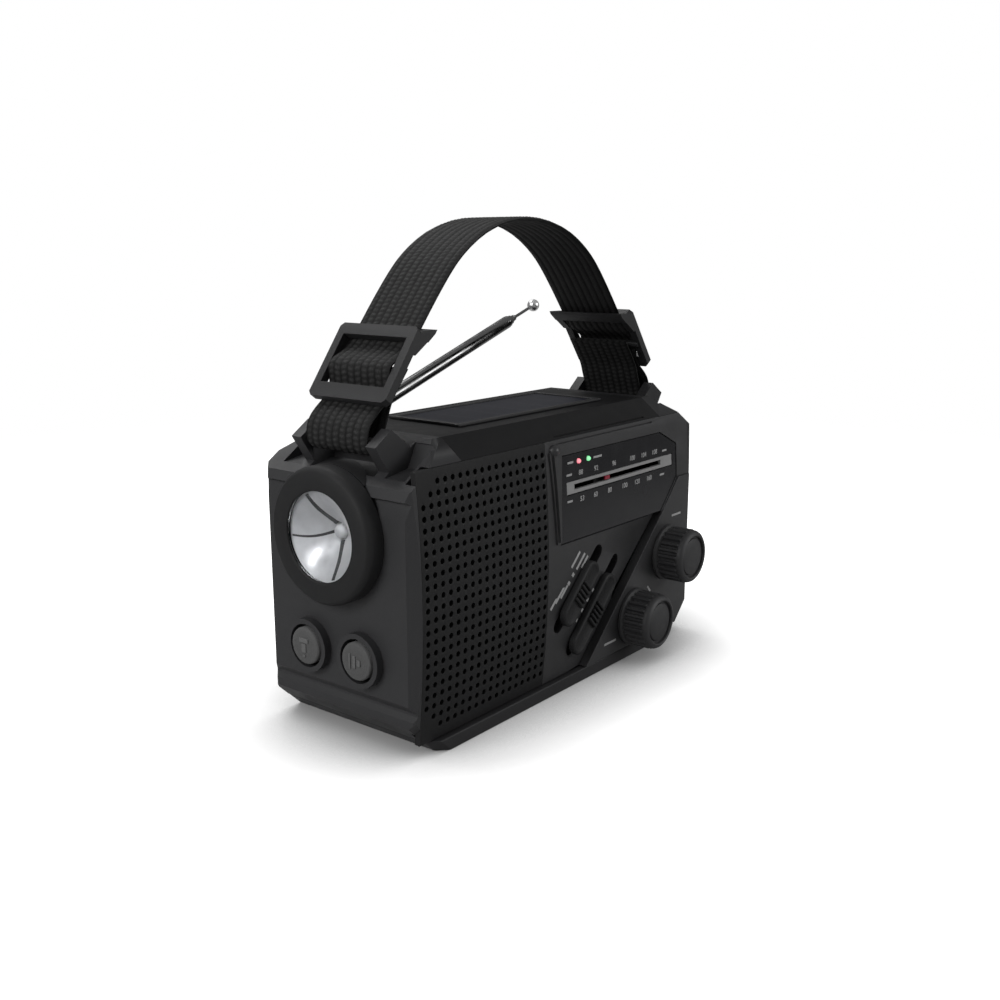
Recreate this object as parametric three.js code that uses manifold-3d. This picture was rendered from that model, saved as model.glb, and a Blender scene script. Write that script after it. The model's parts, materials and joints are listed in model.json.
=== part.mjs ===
// Emergency radio with torch, solar panel, hand crank, telescopic antenna and webbing handle.
// Millimetres. The origin is the middle of the underside, +X runs to the right seen from the
// front, the front faces -Y and +Z is up.
import * as THREE from 'three';
import { mergeVertices } from 'three/addons/utils/BufferGeometryUtils.js';
import Module from 'manifold-3d';

const wasm = await Module();
wasm.setup();

// ---------------------------------------------------------------- driving dimensions
const DEG = Math.PI / 180;
const HALF_LENGTH = 78.5;
const FRONT_Y = -31.7;
const REAR_Y = 31.0;
const TOP_Z = 91.9;
const WALL = 2.4;
const SEAM = 0.12;              // joint between two housing pieces
const GAP = 0.3;                // clearance between separate pieces

const CROWN = 1.8;              // the front face bows out by this much between edge and middle
const CROWN_MID_Z = 45.5;
const CROWN_HALF = 36.3;
const FACE_TOP_Z = 85.8;        // the front face ends here and the top bevel starts
const BEVEL_Y = 21.8;           // the flat top ends here, front and rear
const END_CHAMFER = 3.3;

const BASE_TOP_Z = 4.4;
const CAP_SEAM_X = 55.3;        // end caps meet the covers here
const SPLIT_X = -15.3;          // speaker grille meets the front fascia here
const FACE_HALF_X = 75.2;

const SLOPE_FOOT = [-77.5, 80.2];
const SLOPE_HEAD = [-59.6, TOP_Z];

const TORCH_Z = 64.3;
const TORCH_RADIUS = 20.6;       // outside of the torch bezel
const BUTTON_Z = 28.2;
const BUTTON_Y = 10.8;

const CONTROL_ANGLE = 43.2 * DEG;   // direction of the slide switches and of the knob panel's edge
const PANEL_EDGE = [35.5, 31.3];    // a point on that edge
const SCOOP_WIDTH = 24;
const SCOOP_DEPTH = 3.5;
const KNOB_PANEL_Y = -31.9;
const TUNING_AT = [59.4, 34.4];
const VOLUME_AT = [36.9, 15.2];
const KNOB_RADIUS = 10.4;
const KNOB_HEIGHT = 11.6;

const STRAP_WIDTH = 25;
const STRAP_THICKNESS = 1.3;
const POST_INNER_Y = 13.3;
const POST_OUTER_Y = 17.2;
const STRAP_BAR_RADIUS = 1.85;

const ANTENNA_AT = [-49.2, 28, 88];
const ANTENNA_RAISE = 18.7 * DEG;

const CRANK_AT = [16, 44.5];
const CRANK_RECESS_RADIUS = 36;
const CRANK_RECESS_FLOOR = 21;
const GEAR_MODULE = 0.8;

// ---------------------------------------------------------------- materials
function finish(color, roughness, metalness = 0) {
  return new THREE.MeshStandardMaterial({ color, roughness, metalness });
}
const housing = finish(0x1b1b1d, 0.62);
const glossy = finish(0x26282c, 0.25);
const rubber = finish(0x222224, 0.85);
const webbing = finish(0x161616, 0.95);
const chrome = finish(0xd8d8dc, 0.12, 1);
const steel = finish(0x9a9a9e, 0.35, 1);
const clear = finish(0xe8eef2, 0.05);
const solarGlass = finish(0x14161f, 0.15);
const scaleWhite = finish(0xb9babd, 0.5);
const pointerRed = finish(0xb3122a, 0.4);
const ledRed = finish(0xe03040, 0.3);
const ledGreen = finish(0x20c050, 0.3);
const board = finish(0x1d4a2e, 0.6);
const nylon = finish(0xd6d2c4, 0.5);
const magnetGrey = finish(0x4a4a4c, 0.5, 0.6);
const cellBlue = finish(0x2c5f8a, 0.4);
const paper = finish(0x2b2b2b, 0.9);

// ---------------------------------------------------------------- solids
function signedVolume(position, index) {
  const a = new THREE.Vector3();
  const b = new THREE.Vector3();
  const c = new THREE.Vector3();
  let volume = 0;
  for (let i = 0; i < index.length; i += 3) {
    a.fromArray(position, 3 * index[i]);
    b.fromArray(position, 3 * index[i + 1]);
    c.fromArray(position, 3 * index[i + 2]);
    volume += a.dot(b.cross(c));
  }
  return volume;
}

// A closed three.js geometry as a solid that can be joined and cut.
function solid(geometry) {
  const bare = geometry.clone();
  bare.deleteAttribute('normal');
  bare.deleteAttribute('uv');
  const merged = mergeVertices(bare, 1e-4);
  const position = new Float32Array(merged.attributes.position.array);
  const index = [];
  const all = merged.index.array;
  for (let i = 0; i < all.length; i += 3) {
    const [p, q, r] = [all[i], all[i + 1], all[i + 2]];
    if (p !== q && q !== r && r !== p) index.push(p, q, r);
  }
  if (signedVolume(position, index) < 0) {
    for (let i = 0; i < index.length; i += 3) {
      [index[i + 1], index[i + 2]] = [index[i + 2], index[i + 1]];
    }
  }
  return new wasm.Manifold(new wasm.Mesh({
    numProp: 3,
    vertProperties: position,
    triVerts: new Uint32Array(index),
  }));
}

function geometryOf(body) {
  const mesh = body.getMesh();
  const geometry = new THREE.BufferGeometry();
  geometry.setAttribute('position', new THREE.BufferAttribute(mesh.vertProperties, 3));
  geometry.setIndex(new THREE.BufferAttribute(mesh.triVerts, 1));
  geometry.computeVertexNormals();
  return geometry;
}

function join(...bodies) {
  return bodies.reduce((whole, body) => whole.add(body));
}

function cut(body, ...tools) {
  return tools.reduce((rest, tool) => rest.subtract(tool), body);
}

function common(...bodies) {
  return bodies.reduce((whole, body) => whole.intersect(body));
}

function prism(points, length) {
  const shape = new THREE.Shape(points.map(([a, b]) => new THREE.Vector2(a, b)));
  return new THREE.ExtrudeGeometry(shape, { depth: length, bevelEnabled: false });
}

// Outline of [y, z] points, drawn out along X.
function alongX(points, x0, x1) {
  const turn = new THREE.Matrix4().makeBasis(
    new THREE.Vector3(0, 1, 0), new THREE.Vector3(0, 0, 1), new THREE.Vector3(1, 0, 0));
  return solid(prism(points, x1 - x0).applyMatrix4(turn).translate(x0, 0, 0));
}

// Outline of [x, z] points, drawn out along Y.
function alongY(points, y0, y1) {
  return solid(prism(points, y1 - y0).rotateX(Math.PI / 2).translate(0, y1, 0));
}

// Outline of [x, y] points, drawn out along Z.
function alongZ(points, z0, z1) {
  return solid(prism(points, z1 - z0).translate(0, 0, z0));
}

function box(x0, x1, y0, y1, z0, z1) {
  const geometry = new THREE.BoxGeometry(x1 - x0, y1 - y0, z1 - z0);
  return solid(geometry.translate((x0 + x1) / 2, (y0 + y1) / 2, (z0 + z1) / 2));
}

// Profile of [radius, height] points turned about an axis through `at`.
function turned(profile, direction, at = [0, 0, 0], segments = 32) {
  const points = profile.map(([r, h]) => new THREE.Vector2(r, h));
  const onAxis = profile[0][0] === 0 && profile[profile.length - 1][0] === 0;
  if (!onAxis) points.push(points[0].clone());
  const turn = new THREE.Quaternion().setFromUnitVectors(
    new THREE.Vector3(0, 1, 0), new THREE.Vector3(...direction).normalize());
  return solid(new THREE.LatheGeometry(points, segments).applyQuaternion(turn).translate(...at));
}

function rod(radius, from, to, segments = 24) {
  const start = new THREE.Vector3(...from);
  const span = new THREE.Vector3(...to).sub(start);
  const profile = [[0, 0], [radius, 0], [radius, span.length()], [0, span.length()]];
  return turned(profile, span.toArray(), from, segments);
}

function mirrorX(body) {
  return solid(geometryOf(body).scale(-1, 1, 1));
}

function capsule(centre, angle, length, width, arcSteps = 8) {
  const radius = width / 2;
  const reach = length / 2 - radius;
  const points = [];
  for (const end of [1, -1]) {
    for (let i = 0; i <= arcSteps; i += 1) {
      const turn = angle + (i / arcSteps - 0.5) * Math.PI + (end < 0 ? Math.PI : 0);
      points.push([
        centre[0] + end * reach * Math.cos(angle) + radius * Math.cos(turn),
        centre[1] + end * reach * Math.sin(angle) + radius * Math.sin(turn),
      ]);
    }
  }
  return points;
}

// ---------------------------------------------------------------- part bookkeeping
const radio = new THREE.Group();

function part(name, body, material, parent = radio) {
  const mesh = new THREE.Mesh(body.isBufferGeometry ? body : geometryOf(body), material);
  mesh.name = name;
  parent.add(mesh);
  return mesh;
}

// ---------------------------------------------------------------- outer form
function crownY(z) {
  return FRONT_Y + CROWN * ((z - CROWN_MID_Z) / CROWN_HALF) ** 2;
}

function mirrored(half) {
  const other = half.map(([x, z]) => [-x, z]).reverse();
  return [...half, ...other];
}

const frontOutline = mirrored([
  [HALF_LENGTH - 11.5, 0],
  [HALF_LENGTH - 1, 10.2],
  [HALF_LENGTH - 0.9, 12.8],
  [HALF_LENGTH - 2, 14.4],
  [HALF_LENGTH - 2, 15.2],
  [HALF_LENGTH, 17.6],
  [HALF_LENGTH, 72],
  [HALF_LENGTH - 1.4, 76.6],
  [HALF_LENGTH + 0.1, 77.3],
  [-SLOPE_FOOT[0], SLOPE_FOOT[1]],
  [-SLOPE_HEAD[0], SLOPE_HEAD[1]],
]);

// Side outline, moved inwards by `inset` all round, from the underside up the front.
function sideOutline(inset) {
  const points = [];
  const steps = 10;
  for (let i = 0; i <= steps; i += 1) {
    const z = inset + (FACE_TOP_Z - 0.4 * inset - inset) * (i / steps);
    points.push([crownY(z) + inset, z]);
  }
  points.push([-BEVEL_Y + 0.35 * inset, TOP_Z - inset]);
  points.push([BEVEL_Y - 0.35 * inset, TOP_Z - inset]);
  points.push([REAR_Y - inset, 84.4 - 0.5 * inset]);
  points.push([REAR_Y - inset, inset]);
  return points.reverse();
}

function planOutline(inset, frontY = FRONT_Y) {
  const x = HALF_LENGTH + 0.2 - inset;
  const front = frontY + inset;
  const rear = REAR_Y - inset;
  const c = END_CHAMFER;
  return [
    [-x + c, front], [x - c, front], [x, front + c], [x, rear - c],
    [x - c, rear], [-x + c, rear], [-x, rear - c], [-x, front + c],
  ];
}

const FAR = 120;
// The lower front corners are cut where x, y and z add up to this much, left and right.
const CORNER_FACET = -95;
const frontForm = [-1, 1].reduce(
  (form, side) => form.trimByPlane([-side, 1, 1], CORNER_FACET / Math.sqrt(3)),
  alongY(frontOutline, -FAR, FAR));
const envelope = common(
  frontForm, alongX(sideOutline(0), -FAR, FAR), alongZ(planOutline(0), -FAR, FAR));
const innerSide = alongX(sideOutline(WALL), -FAR, FAR);
const innerEnds = alongY(mirrored([[66, 2.4], [74.6, 11], [74.6, 70.5], [58, 83.5], [50, 89.6]]), -FAR, FAR);
const hollow = common(innerSide, innerEnds, alongZ(planOutline(WALL), -FAR, FAR));
const shell = cut(envelope, hollow);

// ---------------------------------------------------------------- base, top and rear
function baseTray() {
  const lip = -31.4;
  const outer = common(alongZ(planOutline(0, lip), 0, BASE_TOP_Z), frontForm);
  return cut(outer, box(-66, 66, -28.6, 28.2, 2.4, 9));
}

const SOLAR_HALF = [36.7, 12.5];

function topCover() {
  const slice = box(-CAP_SEAM_X + SEAM / 2, CAP_SEAM_X - SEAM / 2, -40, BEVEL_Y - SEAM / 2,
    FACE_TOP_Z - SEAM / 2, 99);
  const [px, py] = SOLAR_HALF;
  const pocket = box(-px - 0.6, px + 0.6, -py - 0.6, py + 0.6, 90.2, 99);
  const groove = box(-9, 46, -40, -28.2, 86.2, 86.7);
  return cut(common(shell, slice), pocket, groove);
}

const TROUGH_RADIUS = 3.2;
const ANTENNA_POCKET_RADIUS = 5.2;

function antennaTrough() {
  const [x, y, z] = ANTENNA_AT;
  return join(
    rod(TROUGH_RADIUS, [x + 4, y, z], [HALF_LENGTH, y, z], 20),
    rod(ANTENNA_POCKET_RADIUS, [x, y, 81.5], [x, y, 99], 32));
}

const SCREWS_AT = [[49, 11], [49, 78], [-19, 11], [-19, 78]];
const DOOR = { x0: -51.7, x1: -25.1, z0: 9.6, z1: 73.6, y0: 29.1, y1: 30.9 };

function rearCover() {
  const slice = box(-CAP_SEAM_X + SEAM / 2, CAP_SEAM_X - SEAM / 2, BEVEL_Y + SEAM / 2, 40,
    BASE_TOP_Z + SEAM, 99);
  const [cx, cz] = CRANK_AT;
  const spine = common(envelope, slice, box(-FAR, FAR, BEVEL_Y + SEAM / 2, 40, 79.5, 88));
  const doorFrame = box(DOOR.x0 - 2.3, DOOR.x1 + 1.9, 26.6, 29.4, DOOR.z0 - 2.1, DOOR.z1 + 1.9);
  const cup = rod(CRANK_RECESS_RADIUS + 2.4, [cx, CRANK_RECESS_FLOOR - 2.4, cz], [cx, 30, cz], 40);
  const bosses = SCREWS_AT.map(([x, z]) => rod(4, [x, 19, z], [x, 30, z], 18));
  let body = join(common(shell, slice), spine, doorFrame, cup, ...bosses);
  body = cut(body,
    rod(CRANK_RECESS_RADIUS, [cx, CRANK_RECESS_FLOOR, cz], [cx, 45, cz], 40),
    rod(2.9, [cx, 10, cz], [cx, 30, cz], 20),
    antennaTrough(),
    rod(1.9, [ANTENNA_AT[0], ANTENNA_AT[1], 70], [ANTENNA_AT[0], ANTENNA_AT[1], 84], 16),
    box(DOOR.x0 - GAP, DOOR.x1 + GAP, DOOR.y0 - 0.2, 45, DOOR.z0 - GAP, DOOR.z1 + GAP),
    box(DOOR.x0 + 1.7, DOOR.x1 - 1.7, 20, 45, DOOR.z0 + 1.9, DOOR.z1 - 1.9));
  for (const [x, z] of SCREWS_AT) {
    body = cut(body, rod(3.1, [x, 29, z], [x, 40, z], 16), rod(1.5, [x, 15, z], [x, 40, z], 12));
  }
  return body;
}

function screwGeometry() {
  const profile = [[0, 0], [1.2, 0], [1.2, 13.2], [2.7, 13.2], [2.7, 14], [2.1, 14.5], [0, 14.5]];
  const slot = box(-0.35, 0.35, 13.7, 16, -3, 3);
  return geometryOf(cut(turned(profile, [0, 1, 0], [0, 0, 0], 12), slot));
}

// ---------------------------------------------------------------- end caps
const slopeRun = [SLOPE_HEAD[0] - SLOPE_FOOT[0], SLOPE_HEAD[1] - SLOPE_FOOT[1]];
const slopeLength = Math.hypot(...slopeRun);
const slopeAlong = [slopeRun[0] / slopeLength, slopeRun[1] / slopeLength];
const slopeOut = [-slopeAlong[1], slopeAlong[0]];

// A point `s` up the end cap's slope and `h` out of it, as [x, z], on the left end.
function onSlope(s, h) {
  return [
    SLOPE_FOOT[0] + s * slopeAlong[0] + h * slopeOut[0],
    SLOPE_FOOT[1] + s * slopeAlong[1] + h * slopeOut[1],
  ];
}

const STRAP_BAR = onSlope(9.7, 6.6);

function slopePrism(points, y0, y1) {
  return alongY(points.map(([s, h]) => onSlope(s, h)), y0, y1);
}

function capCore() {
  let cap = common(shell, box(-90, -CAP_SEAM_X - SEAM / 2, -40, 40, BASE_TOP_Z + SEAM, 99));
  cap = cut(cap, box(-FACE_HALF_X - SEAM / 2, -50, -40, -26, 0, FACE_TOP_Z - SEAM / 2));
  const valley = [[3.6, 2], [3.6, -0.3], [12.6, -4.2], [19.2, -0.4], [19.2, 2]];
  cap = cut(cap,
    slopePrism(valley, -25, -POST_OUTER_Y),
    slopePrism(valley, -POST_INNER_Y, POST_INNER_Y),
    slopePrism(valley, POST_OUTER_Y, 25));
  const post = [[5.9, -3.5], [17.4, -3.5], [16.6, 0.8], [13.7, 9.3], [5.8, 9.3]];
  for (const side of [-1, 1]) {
    const y0 = Math.min(side * POST_INNER_Y, side * POST_OUTER_Y);
    cap = join(cap, slopePrism(post, y0, y0 + POST_OUTER_Y - POST_INNER_Y));
  }
  const [bx, bz] = STRAP_BAR;
  const reach = 16.5;
  return cut(cap, rod(STRAP_BAR_RADIUS + 0.25, [bx, -reach, bz], [bx, reach, bz], 20));
}

const END_X = -HALF_LENGTH;

function leftEndCap(core) {
  let cap = core;
  for (const side of [-1, 1]) {
    const y = side * BUTTON_Y;
    cap = join(cap, rod(8.35, [END_X + 1, y, BUTTON_Z], [END_X - 2.6, y, BUTTON_Z], 22));
  }
  for (const side of [-1, 1]) {
    const y = side * BUTTON_Y;
    cap = cut(cap, rod(6.8, [END_X - 5, y, BUTTON_Z], [END_X + 12, y, BUTTON_Z], 22));
  }
  return cut(cap, rod(14.8, [END_X - 5, 0, TORCH_Z], [END_X + 12, 0, TORCH_Z], 28));
}

const PORTS = { halfY: 15.3, z0: 23.2, z1: 34.8 };

function rightEndCap(core) {
  const cap = mirrorX(core);
  const opening = box(70, 90, -PORTS.halfY, PORTS.halfY, PORTS.z0, PORTS.z1);
  const seat = box(77, 90, -PORTS.halfY - 1.6, PORTS.halfY + 1.6, PORTS.z0 - 0.9, PORTS.z1 + 1.1);
  return cut(cap, opening, seat, antennaTrough());
}

// ---------------------------------------------------------------- front face
const faceSlab = cut(
  common(envelope, box(-FACE_HALF_X + SEAM / 2, FACE_HALF_X - SEAM / 2, -40, -20,
    BASE_TOP_Z + GAP, FACE_TOP_Z - 0.2)),
  innerSide);

// A layer of the crowned front face between two depths below its surface.
function faceLayer(top, bottom) {
  const steps = 12;
  const points = [];
  for (let i = 0; i <= steps; i += 1) {
    const z = 90 * (i / steps);
    points.push([crownY(z) + top, z]);
  }
  for (let i = steps; i >= 0; i -= 1) {
    const z = 90 * (i / steps);
    points.push([crownY(z) + bottom, z]);
  }
  return alongX(points.reverse(), -FAR, FAR);
}

const windowOutline = [[-8.5, 51.2], [55, 50.8], [66.4, 62.3], [66.4, 74.5], [55.2, 79.9], [-6.2, 80]];

// Moves each edge of a convex outline outwards by `grow`.
function offsetOutline(points, grow) {
  const count = points.length;
  const lines = points.map((p, i) => {
    const q = points[(i + 1) % count];
    const length = Math.hypot(q[0] - p[0], q[1] - p[1]);
    const normal = [(q[1] - p[1]) / length, -(q[0] - p[0]) / length];
    return { normal, reach: normal[0] * p[0] + normal[1] * p[1] + grow };
  });
  return lines.map((line, i) => {
    const last = lines[(i + count - 1) % count];
    const det = last.normal[0] * line.normal[1] - last.normal[1] * line.normal[0];
    return [
      (last.reach * line.normal[1] - line.reach * last.normal[1]) / det,
      (last.normal[0] * line.reach - line.normal[0] * last.reach) / det,
    ];
  });
}

const controlAlong = [Math.cos(CONTROL_ANGLE), Math.sin(CONTROL_ANGLE)];
const controlAcross = [-controlAlong[1], controlAlong[0]];

// A point `d` along the knob panel's edge and `t` away from it, to the upper left, as [x, z].
function byEdge(d, t) {
  return [
    PANEL_EDGE[0] + d * controlAlong[0] + t * controlAcross[0],
    PANEL_EDGE[1] + d * controlAlong[1] + t * controlAcross[1],
  ];
}

function edgeAtHeight(z) {
  return [PANEL_EDGE[0] + (z - PANEL_EDGE[1]) / Math.tan(CONTROL_ANGLE), z];
}

const knobPanelOutline = [
  edgeAtHeight(BASE_TOP_Z + GAP), [FACE_HALF_X - SEAM / 2, BASE_TOP_Z + GAP],
  [FACE_HALF_X - SEAM / 2, 61.9], [67, 61.9], edgeAtHeight(49.6),
];

// `rest` is how far along its slot, from the middle, each cap stands.
const SWITCHES = [
  { name: 'band_slider', centre: [2.4, 34], slot: 35.4, cap: 25, rest: -1.7, capY: [-34.1, -32.0] },
  { name: 'function_slider', centre: [13.1, 25.6], slot: 41.5, cap: 32, rest: -3.5, capY: [-33.4, -31.0] },
];
const SLOT_WIDTH = 5;

function scoop() {
  // Right triangle with its deep side at the knob panel's edge, drawn out along that edge.
  const zone = alongY([byEdge(-60, -1), byEdge(40, -1), byEdge(40, 30), byEdge(-60, 30)], -40, -20);
  const profile = [[-3, -45], [SCOOP_WIDTH + 6, -45], [SCOOP_WIDTH, FRONT_Y], [-3, FRONT_Y + SCOOP_DEPTH]];
  const shape = prism(profile, 110);
  const basis = new THREE.Matrix4().makeBasis(
    new THREE.Vector3(controlAcross[0], 0, controlAcross[1]),
    new THREE.Vector3(0, 1, 0),
    new THREE.Vector3(-controlAlong[0], 0, -controlAlong[1]));
  const start = byEdge(45, 0);
  const wedge = solid(shape.applyMatrix4(basis).translate(start[0], 0, start[1]));
  return common(wedge, zone, box(-40, 80, -60, 0, -10, 50.7));
}

function frontFascia() {
  const backing = alongY([[-12, 6], [4, 6], edgeAtHeight(50.2), [-12, 50.2]], -29.5, -25.8);
  const clearOfPanel = alongY(offsetOutline(knobPanelOutline, SEAM), -60, 0);
  const footOutline = [[-13.7, 82], [-10.9, 51.8], [-9, 51.8], [-7.9, 82]];
  const crestOutline = [[-12.3, 82], [-10.3, 52.6], [-9.6, 52.6], [-9.4, 82]];
  const ribFoot = common(faceLayer(-0.6, 1.5), alongY(footOutline, -40, -20));
  const ribCrest = common(faceLayer(-1.3, 1.5), alongY(crestOutline, -40, -20));
  const ribHead = solid(new THREE.SphereGeometry(2.1, 16, 10).translate(-10.9, -29.9, 82.3));
  let face = join(common(faceSlab, box(SPLIT_X + SEAM / 2, 90, -40, 0, 0, 99)), backing);
  face = cut(face, clearOfPanel, scoop(), alongY(offsetOutline(windowOutline, 0.15), -60, -20));
  face = join(face, ribFoot, ribCrest, ribHead);
  face = cut(face, box(-9, 50, -40, -29.15, 84, 84.5));
  for (const item of SWITCHES) {
    face = cut(face, alongY(capsule(item.centre, CONTROL_ANGLE, item.slot, SLOT_WIDTH), -60, -20));
  }
  return face;
}

function knobPanel() {
  let plate = common(alongY(knobPanelOutline, KNOB_PANEL_Y, -28.4), frontForm);
  for (const [x, z] of [TUNING_AT, VOLUME_AT]) {
    plate = cut(plate, rod(3.4, [x, -40, z], [x, -20, z], 20));
  }
  return plate;
}

const SCALE = { x0: -4.2, x1: 63.7, z0: 66.6, z1: 71.1 };
const SLOT = { x0: 0.4, x1: 55.5, z0: 68, z1: 69.8 };
const POINTER_X = 20;
const LEDS = [{ name: 'led_red', x: 3.3, material: ledRed }, { name: 'led_green', x: 9, material: ledGreen }];
const LED_Z = 77.1;

function dialWindow() {
  let pane = common(alongY(offsetOutline(windowOutline, -0.15), -60, -20), faceLayer(0.25, 2.2));
  pane = cut(pane, box(SCALE.x0, SCALE.x1, -60, -20, SCALE.z0, SCALE.z1));
  for (const led of LEDS) {
    pane = cut(pane, rod(1.15, [led.x, -40, LED_Z], [led.x, -20, LED_Z], 16));
  }
  return pane;
}

function dialScale() {
  const strip = box(SCALE.x0 + 0.2, SCALE.x1 - 0.2, -60, -20, SCALE.z0 + 0.2, SCALE.z1 - 0.2);
  const slot = box(SLOT.x0, SLOT.x1, -60, -20, SLOT.z0, SLOT.z1);
  return cut(common(strip, faceLayer(0.4, 1.6)), slot);
}

function dialPointer() {
  return join(
    box(POINTER_X - 1.5, POINTER_X + 1.5, -30.6, -27, SLOT.z0 + 0.2, SLOT.z1 - 0.2),
    box(POINTER_X - 5, POINTER_X + 5, -28.2, -26.2, 65, 73));
}

function ledLens(x) {
  const profile = [[0, 0], [0.85, 0], [0.85, 2.2], [0.5, 2.7], [0, 2.85]];
  return turned(profile, [0, -1, 0], [x, -28, LED_Z], 14);
}

function slider(item) {
  const [y0, y1] = item.capY;
  const alongSlot = (d) => [
    item.centre[0] + (item.rest + d) * controlAlong[0],
    item.centre[1] + (item.rest + d) * controlAlong[1],
  ];
  const cap = alongY(capsule(alongSlot(0), CONTROL_ANGLE, item.cap, 8), y0, y1);
  const stem = alongY(capsule(alongSlot(0), CONTROL_ANGLE, 12, 4, 4), y1 - 0.5, -24);
  let body = join(cap, stem);
  const ribs = 3;
  for (let i = 0; i < ribs; i += 1) {
    const at = alongSlot((i - 1) * 2.6);
    body = join(body, alongY(capsule(at, CONTROL_ANGLE + Math.PI / 2, 7, 1.2, 2), y0 - 0.7, y0 + 0.4));
  }
  return body;
}

function switchBlock() {
  const corners = [byEdge(-46, 5), byEdge(8, 5), byEdge(8, 31), byEdge(-46, 31)];
  return common(alongY(corners, -23.5, -18.4), box(-40, 80, -40, 0, 5.2, 62));
}

// ---------------------------------------------------------------- knobs
function knobBody(ribCount = 24) {
  const rim = [];
  for (let i = 0; i < ribCount; i += 1) {
    const step = 2 * Math.PI / ribCount;
    for (const [offset, radius] of [[0.08, 9.25], [0.42, 9.25], [0.58, 9.95], [0.92, 9.95]]) {
      const turn = (i + offset) * step;
      rim.push([radius * Math.cos(turn), radius * Math.sin(turn)]);
    }
  }
  const skirt = [[0, 0], [KNOB_RADIUS, 0], [KNOB_RADIUS, 1], [KNOB_RADIUS - 0.5, 1.5], [0, 1.5]];
  const front = [
    [0, 8.4], [9.5, 8.4], [9.75, 8.9], [9.75, 10], [8.9, 11.2], [8, KNOB_HEIGHT], [7.6, 10.5],
    [6.9, 10.5], [6.6, 11], [3, 11.3], [0, 11.35],
  ];
  const up = [0, -1, 0];
  return join(
    turned(skirt, up, [0, 0, 0], 24),
    alongY(rim, -8.6, -1.2),
    turned(front, up, [0, 0, 0], 24),
    rod(3, [0, 8.5, 0], [0, -2, 0], 20));
}

function addKnob(name, [x, z], body) {
  const mesh = part(name, body, rubber);
  mesh.position.set(x, KNOB_PANEL_Y - GAP, z);
}

function tuningCapacitor() {
  const [x, z] = TUNING_AT;
  const can = box(x - 10, x + 10, -28.1, -18.2, z - 10, z + 10);
  return cut(can, rod(3.3, [x, -30, z], [x, -22.5, z], 20));
}

function volumePot() {
  const [x, z] = VOLUME_AT;
  return cut(rod(8.2, [x, -28.1, z], [x, -18.2, z], 28), rod(3.3, [x, -30, z], [x, -22.5, z], 20));
}

// ---------------------------------------------------------------- torch and buttons
function torchBezel() {
  const profile = [
    [14.1, 0.25], [TORCH_RADIUS, 0.25], [TORCH_RADIUS, 4], [20.1, 5.1], [19, 6], [14.1, 6],
    [13.4, 5.8], [13.4, 5.4], [14.1, 5.4],
  ];
  const ring = turned(profile, [-1, 0, 0], [END_X, 0, TORCH_Z], 32);
  // The top of the ring stands clear of the slope; this wedge carries its wall back to it.
  const behind = rod(TORCH_RADIUS, [END_X - 0.25, 0, TORCH_Z], [END_X + 10, 0, TORCH_Z], 32);
  const wedge = cut(behind, envelope, envelope.translate([-0.25, 0, 0]), box(-90, -60, -40, 40, 0, 80));
  return join(ring, wedge);
}

function torchLens() {
  return turned([[0, 4.3], [13.8, 4.3], [13.8, 5.1], [0, 5.1]], [-1, 0, 0], [END_X, 0, TORCH_Z], 40);
}

function torchReflector() {
  const profile = [
    [13.8, 4], [13.1, 4], [8.2, 0.2], [2.5, -3.6], [2.5, -9.4], [3.4, -9.4], [3.4, -4.4], [8.9, -0.7],
    [13.8, 3.2],
  ];
  return turned(profile, [-1, 0, 0], [END_X, 0, TORCH_Z], 24);
}

function torchBoard() {
  const plate = box(-68, -66.4, -21, 21, 17, 71);
  const led = turned([[0, 0], [2, 0], [2, 6.1], [1.2, 7.3], [0, 7.7]], [-1, 0, 0], [-67.9, 0, TORCH_Z], 16);
  const key = ([y, z]) => box(-69.4, -67.5, y - 3, y + 3, z - 3, z + 3);
  return join(plate, led, key([-BUTTON_Y, BUTTON_Z]), key([BUTTON_Y, BUTTON_Z]));
}

function endButton(side) {
  const profile = [[0, -7.9], [2, -7.9], [2, -0.5], [5.8, -0.5], [5.8, 2.6], [5.3, 3.1], [0, 3.3]];
  return turned(profile, [-1, 0, 0], [END_X, side * BUTTON_Y, BUTTON_Z], 22);
}

// ---------------------------------------------------------------- ports on the right end
function portCover() {
  return box(77.1, 78.4, -PORTS.halfY - 1.3, PORTS.halfY + 1.3, PORTS.z0 - 0.6, PORTS.z1 + 0.8);
}

function portBlock() {
  const block = box(66, 76.7, -15, 15, PORTS.z0 + GAP, PORTS.z1 - GAP);
  const charge = alongX(capsule([-8.5, 29], 0, 9, 3.2, 4), 69, 80);
  const usbOut = box(69, 80, 0.5, 13.5, 26.2, 31.8);
  return cut(block, charge, usbOut);
}

// ---------------------------------------------------------------- solar panel
function solarFrame() {
  const [px, py] = SOLAR_HALF;
  const outer = box(-px - 2.4, px + 2.4, -py - 2.4, py + 2.4, TOP_Z + 0.1, TOP_Z + 1);
  return cut(outer, box(-px - GAP, px + GAP, -py - GAP, py + GAP, 80, 99));
}

function solarPanel() {
  const [px, py] = SOLAR_HALF;
  return box(-px, px, -py, py, 90.5, TOP_Z + 0.6);
}

// ---------------------------------------------------------------- handle
const BUCKLE_CENTRE = [-64.8, 113.2];
const BUCKLE_TILT = 53.55 * DEG;
const BUCKLE = { half: 12.6, halfWidth: 15.7, thickness: 2.6, rail: 2.8 };

// A point `s` up the left buckle and `h` out of its face, as [x, z].
function onBuckle(s, h) {
  return [
    BUCKLE_CENTRE[0] + s * Math.cos(BUCKLE_TILT) - h * Math.sin(BUCKLE_TILT),
    BUCKLE_CENTRE[1] + s * Math.sin(BUCKLE_TILT) + h * Math.cos(BUCKLE_TILT),
  ];
}

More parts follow.
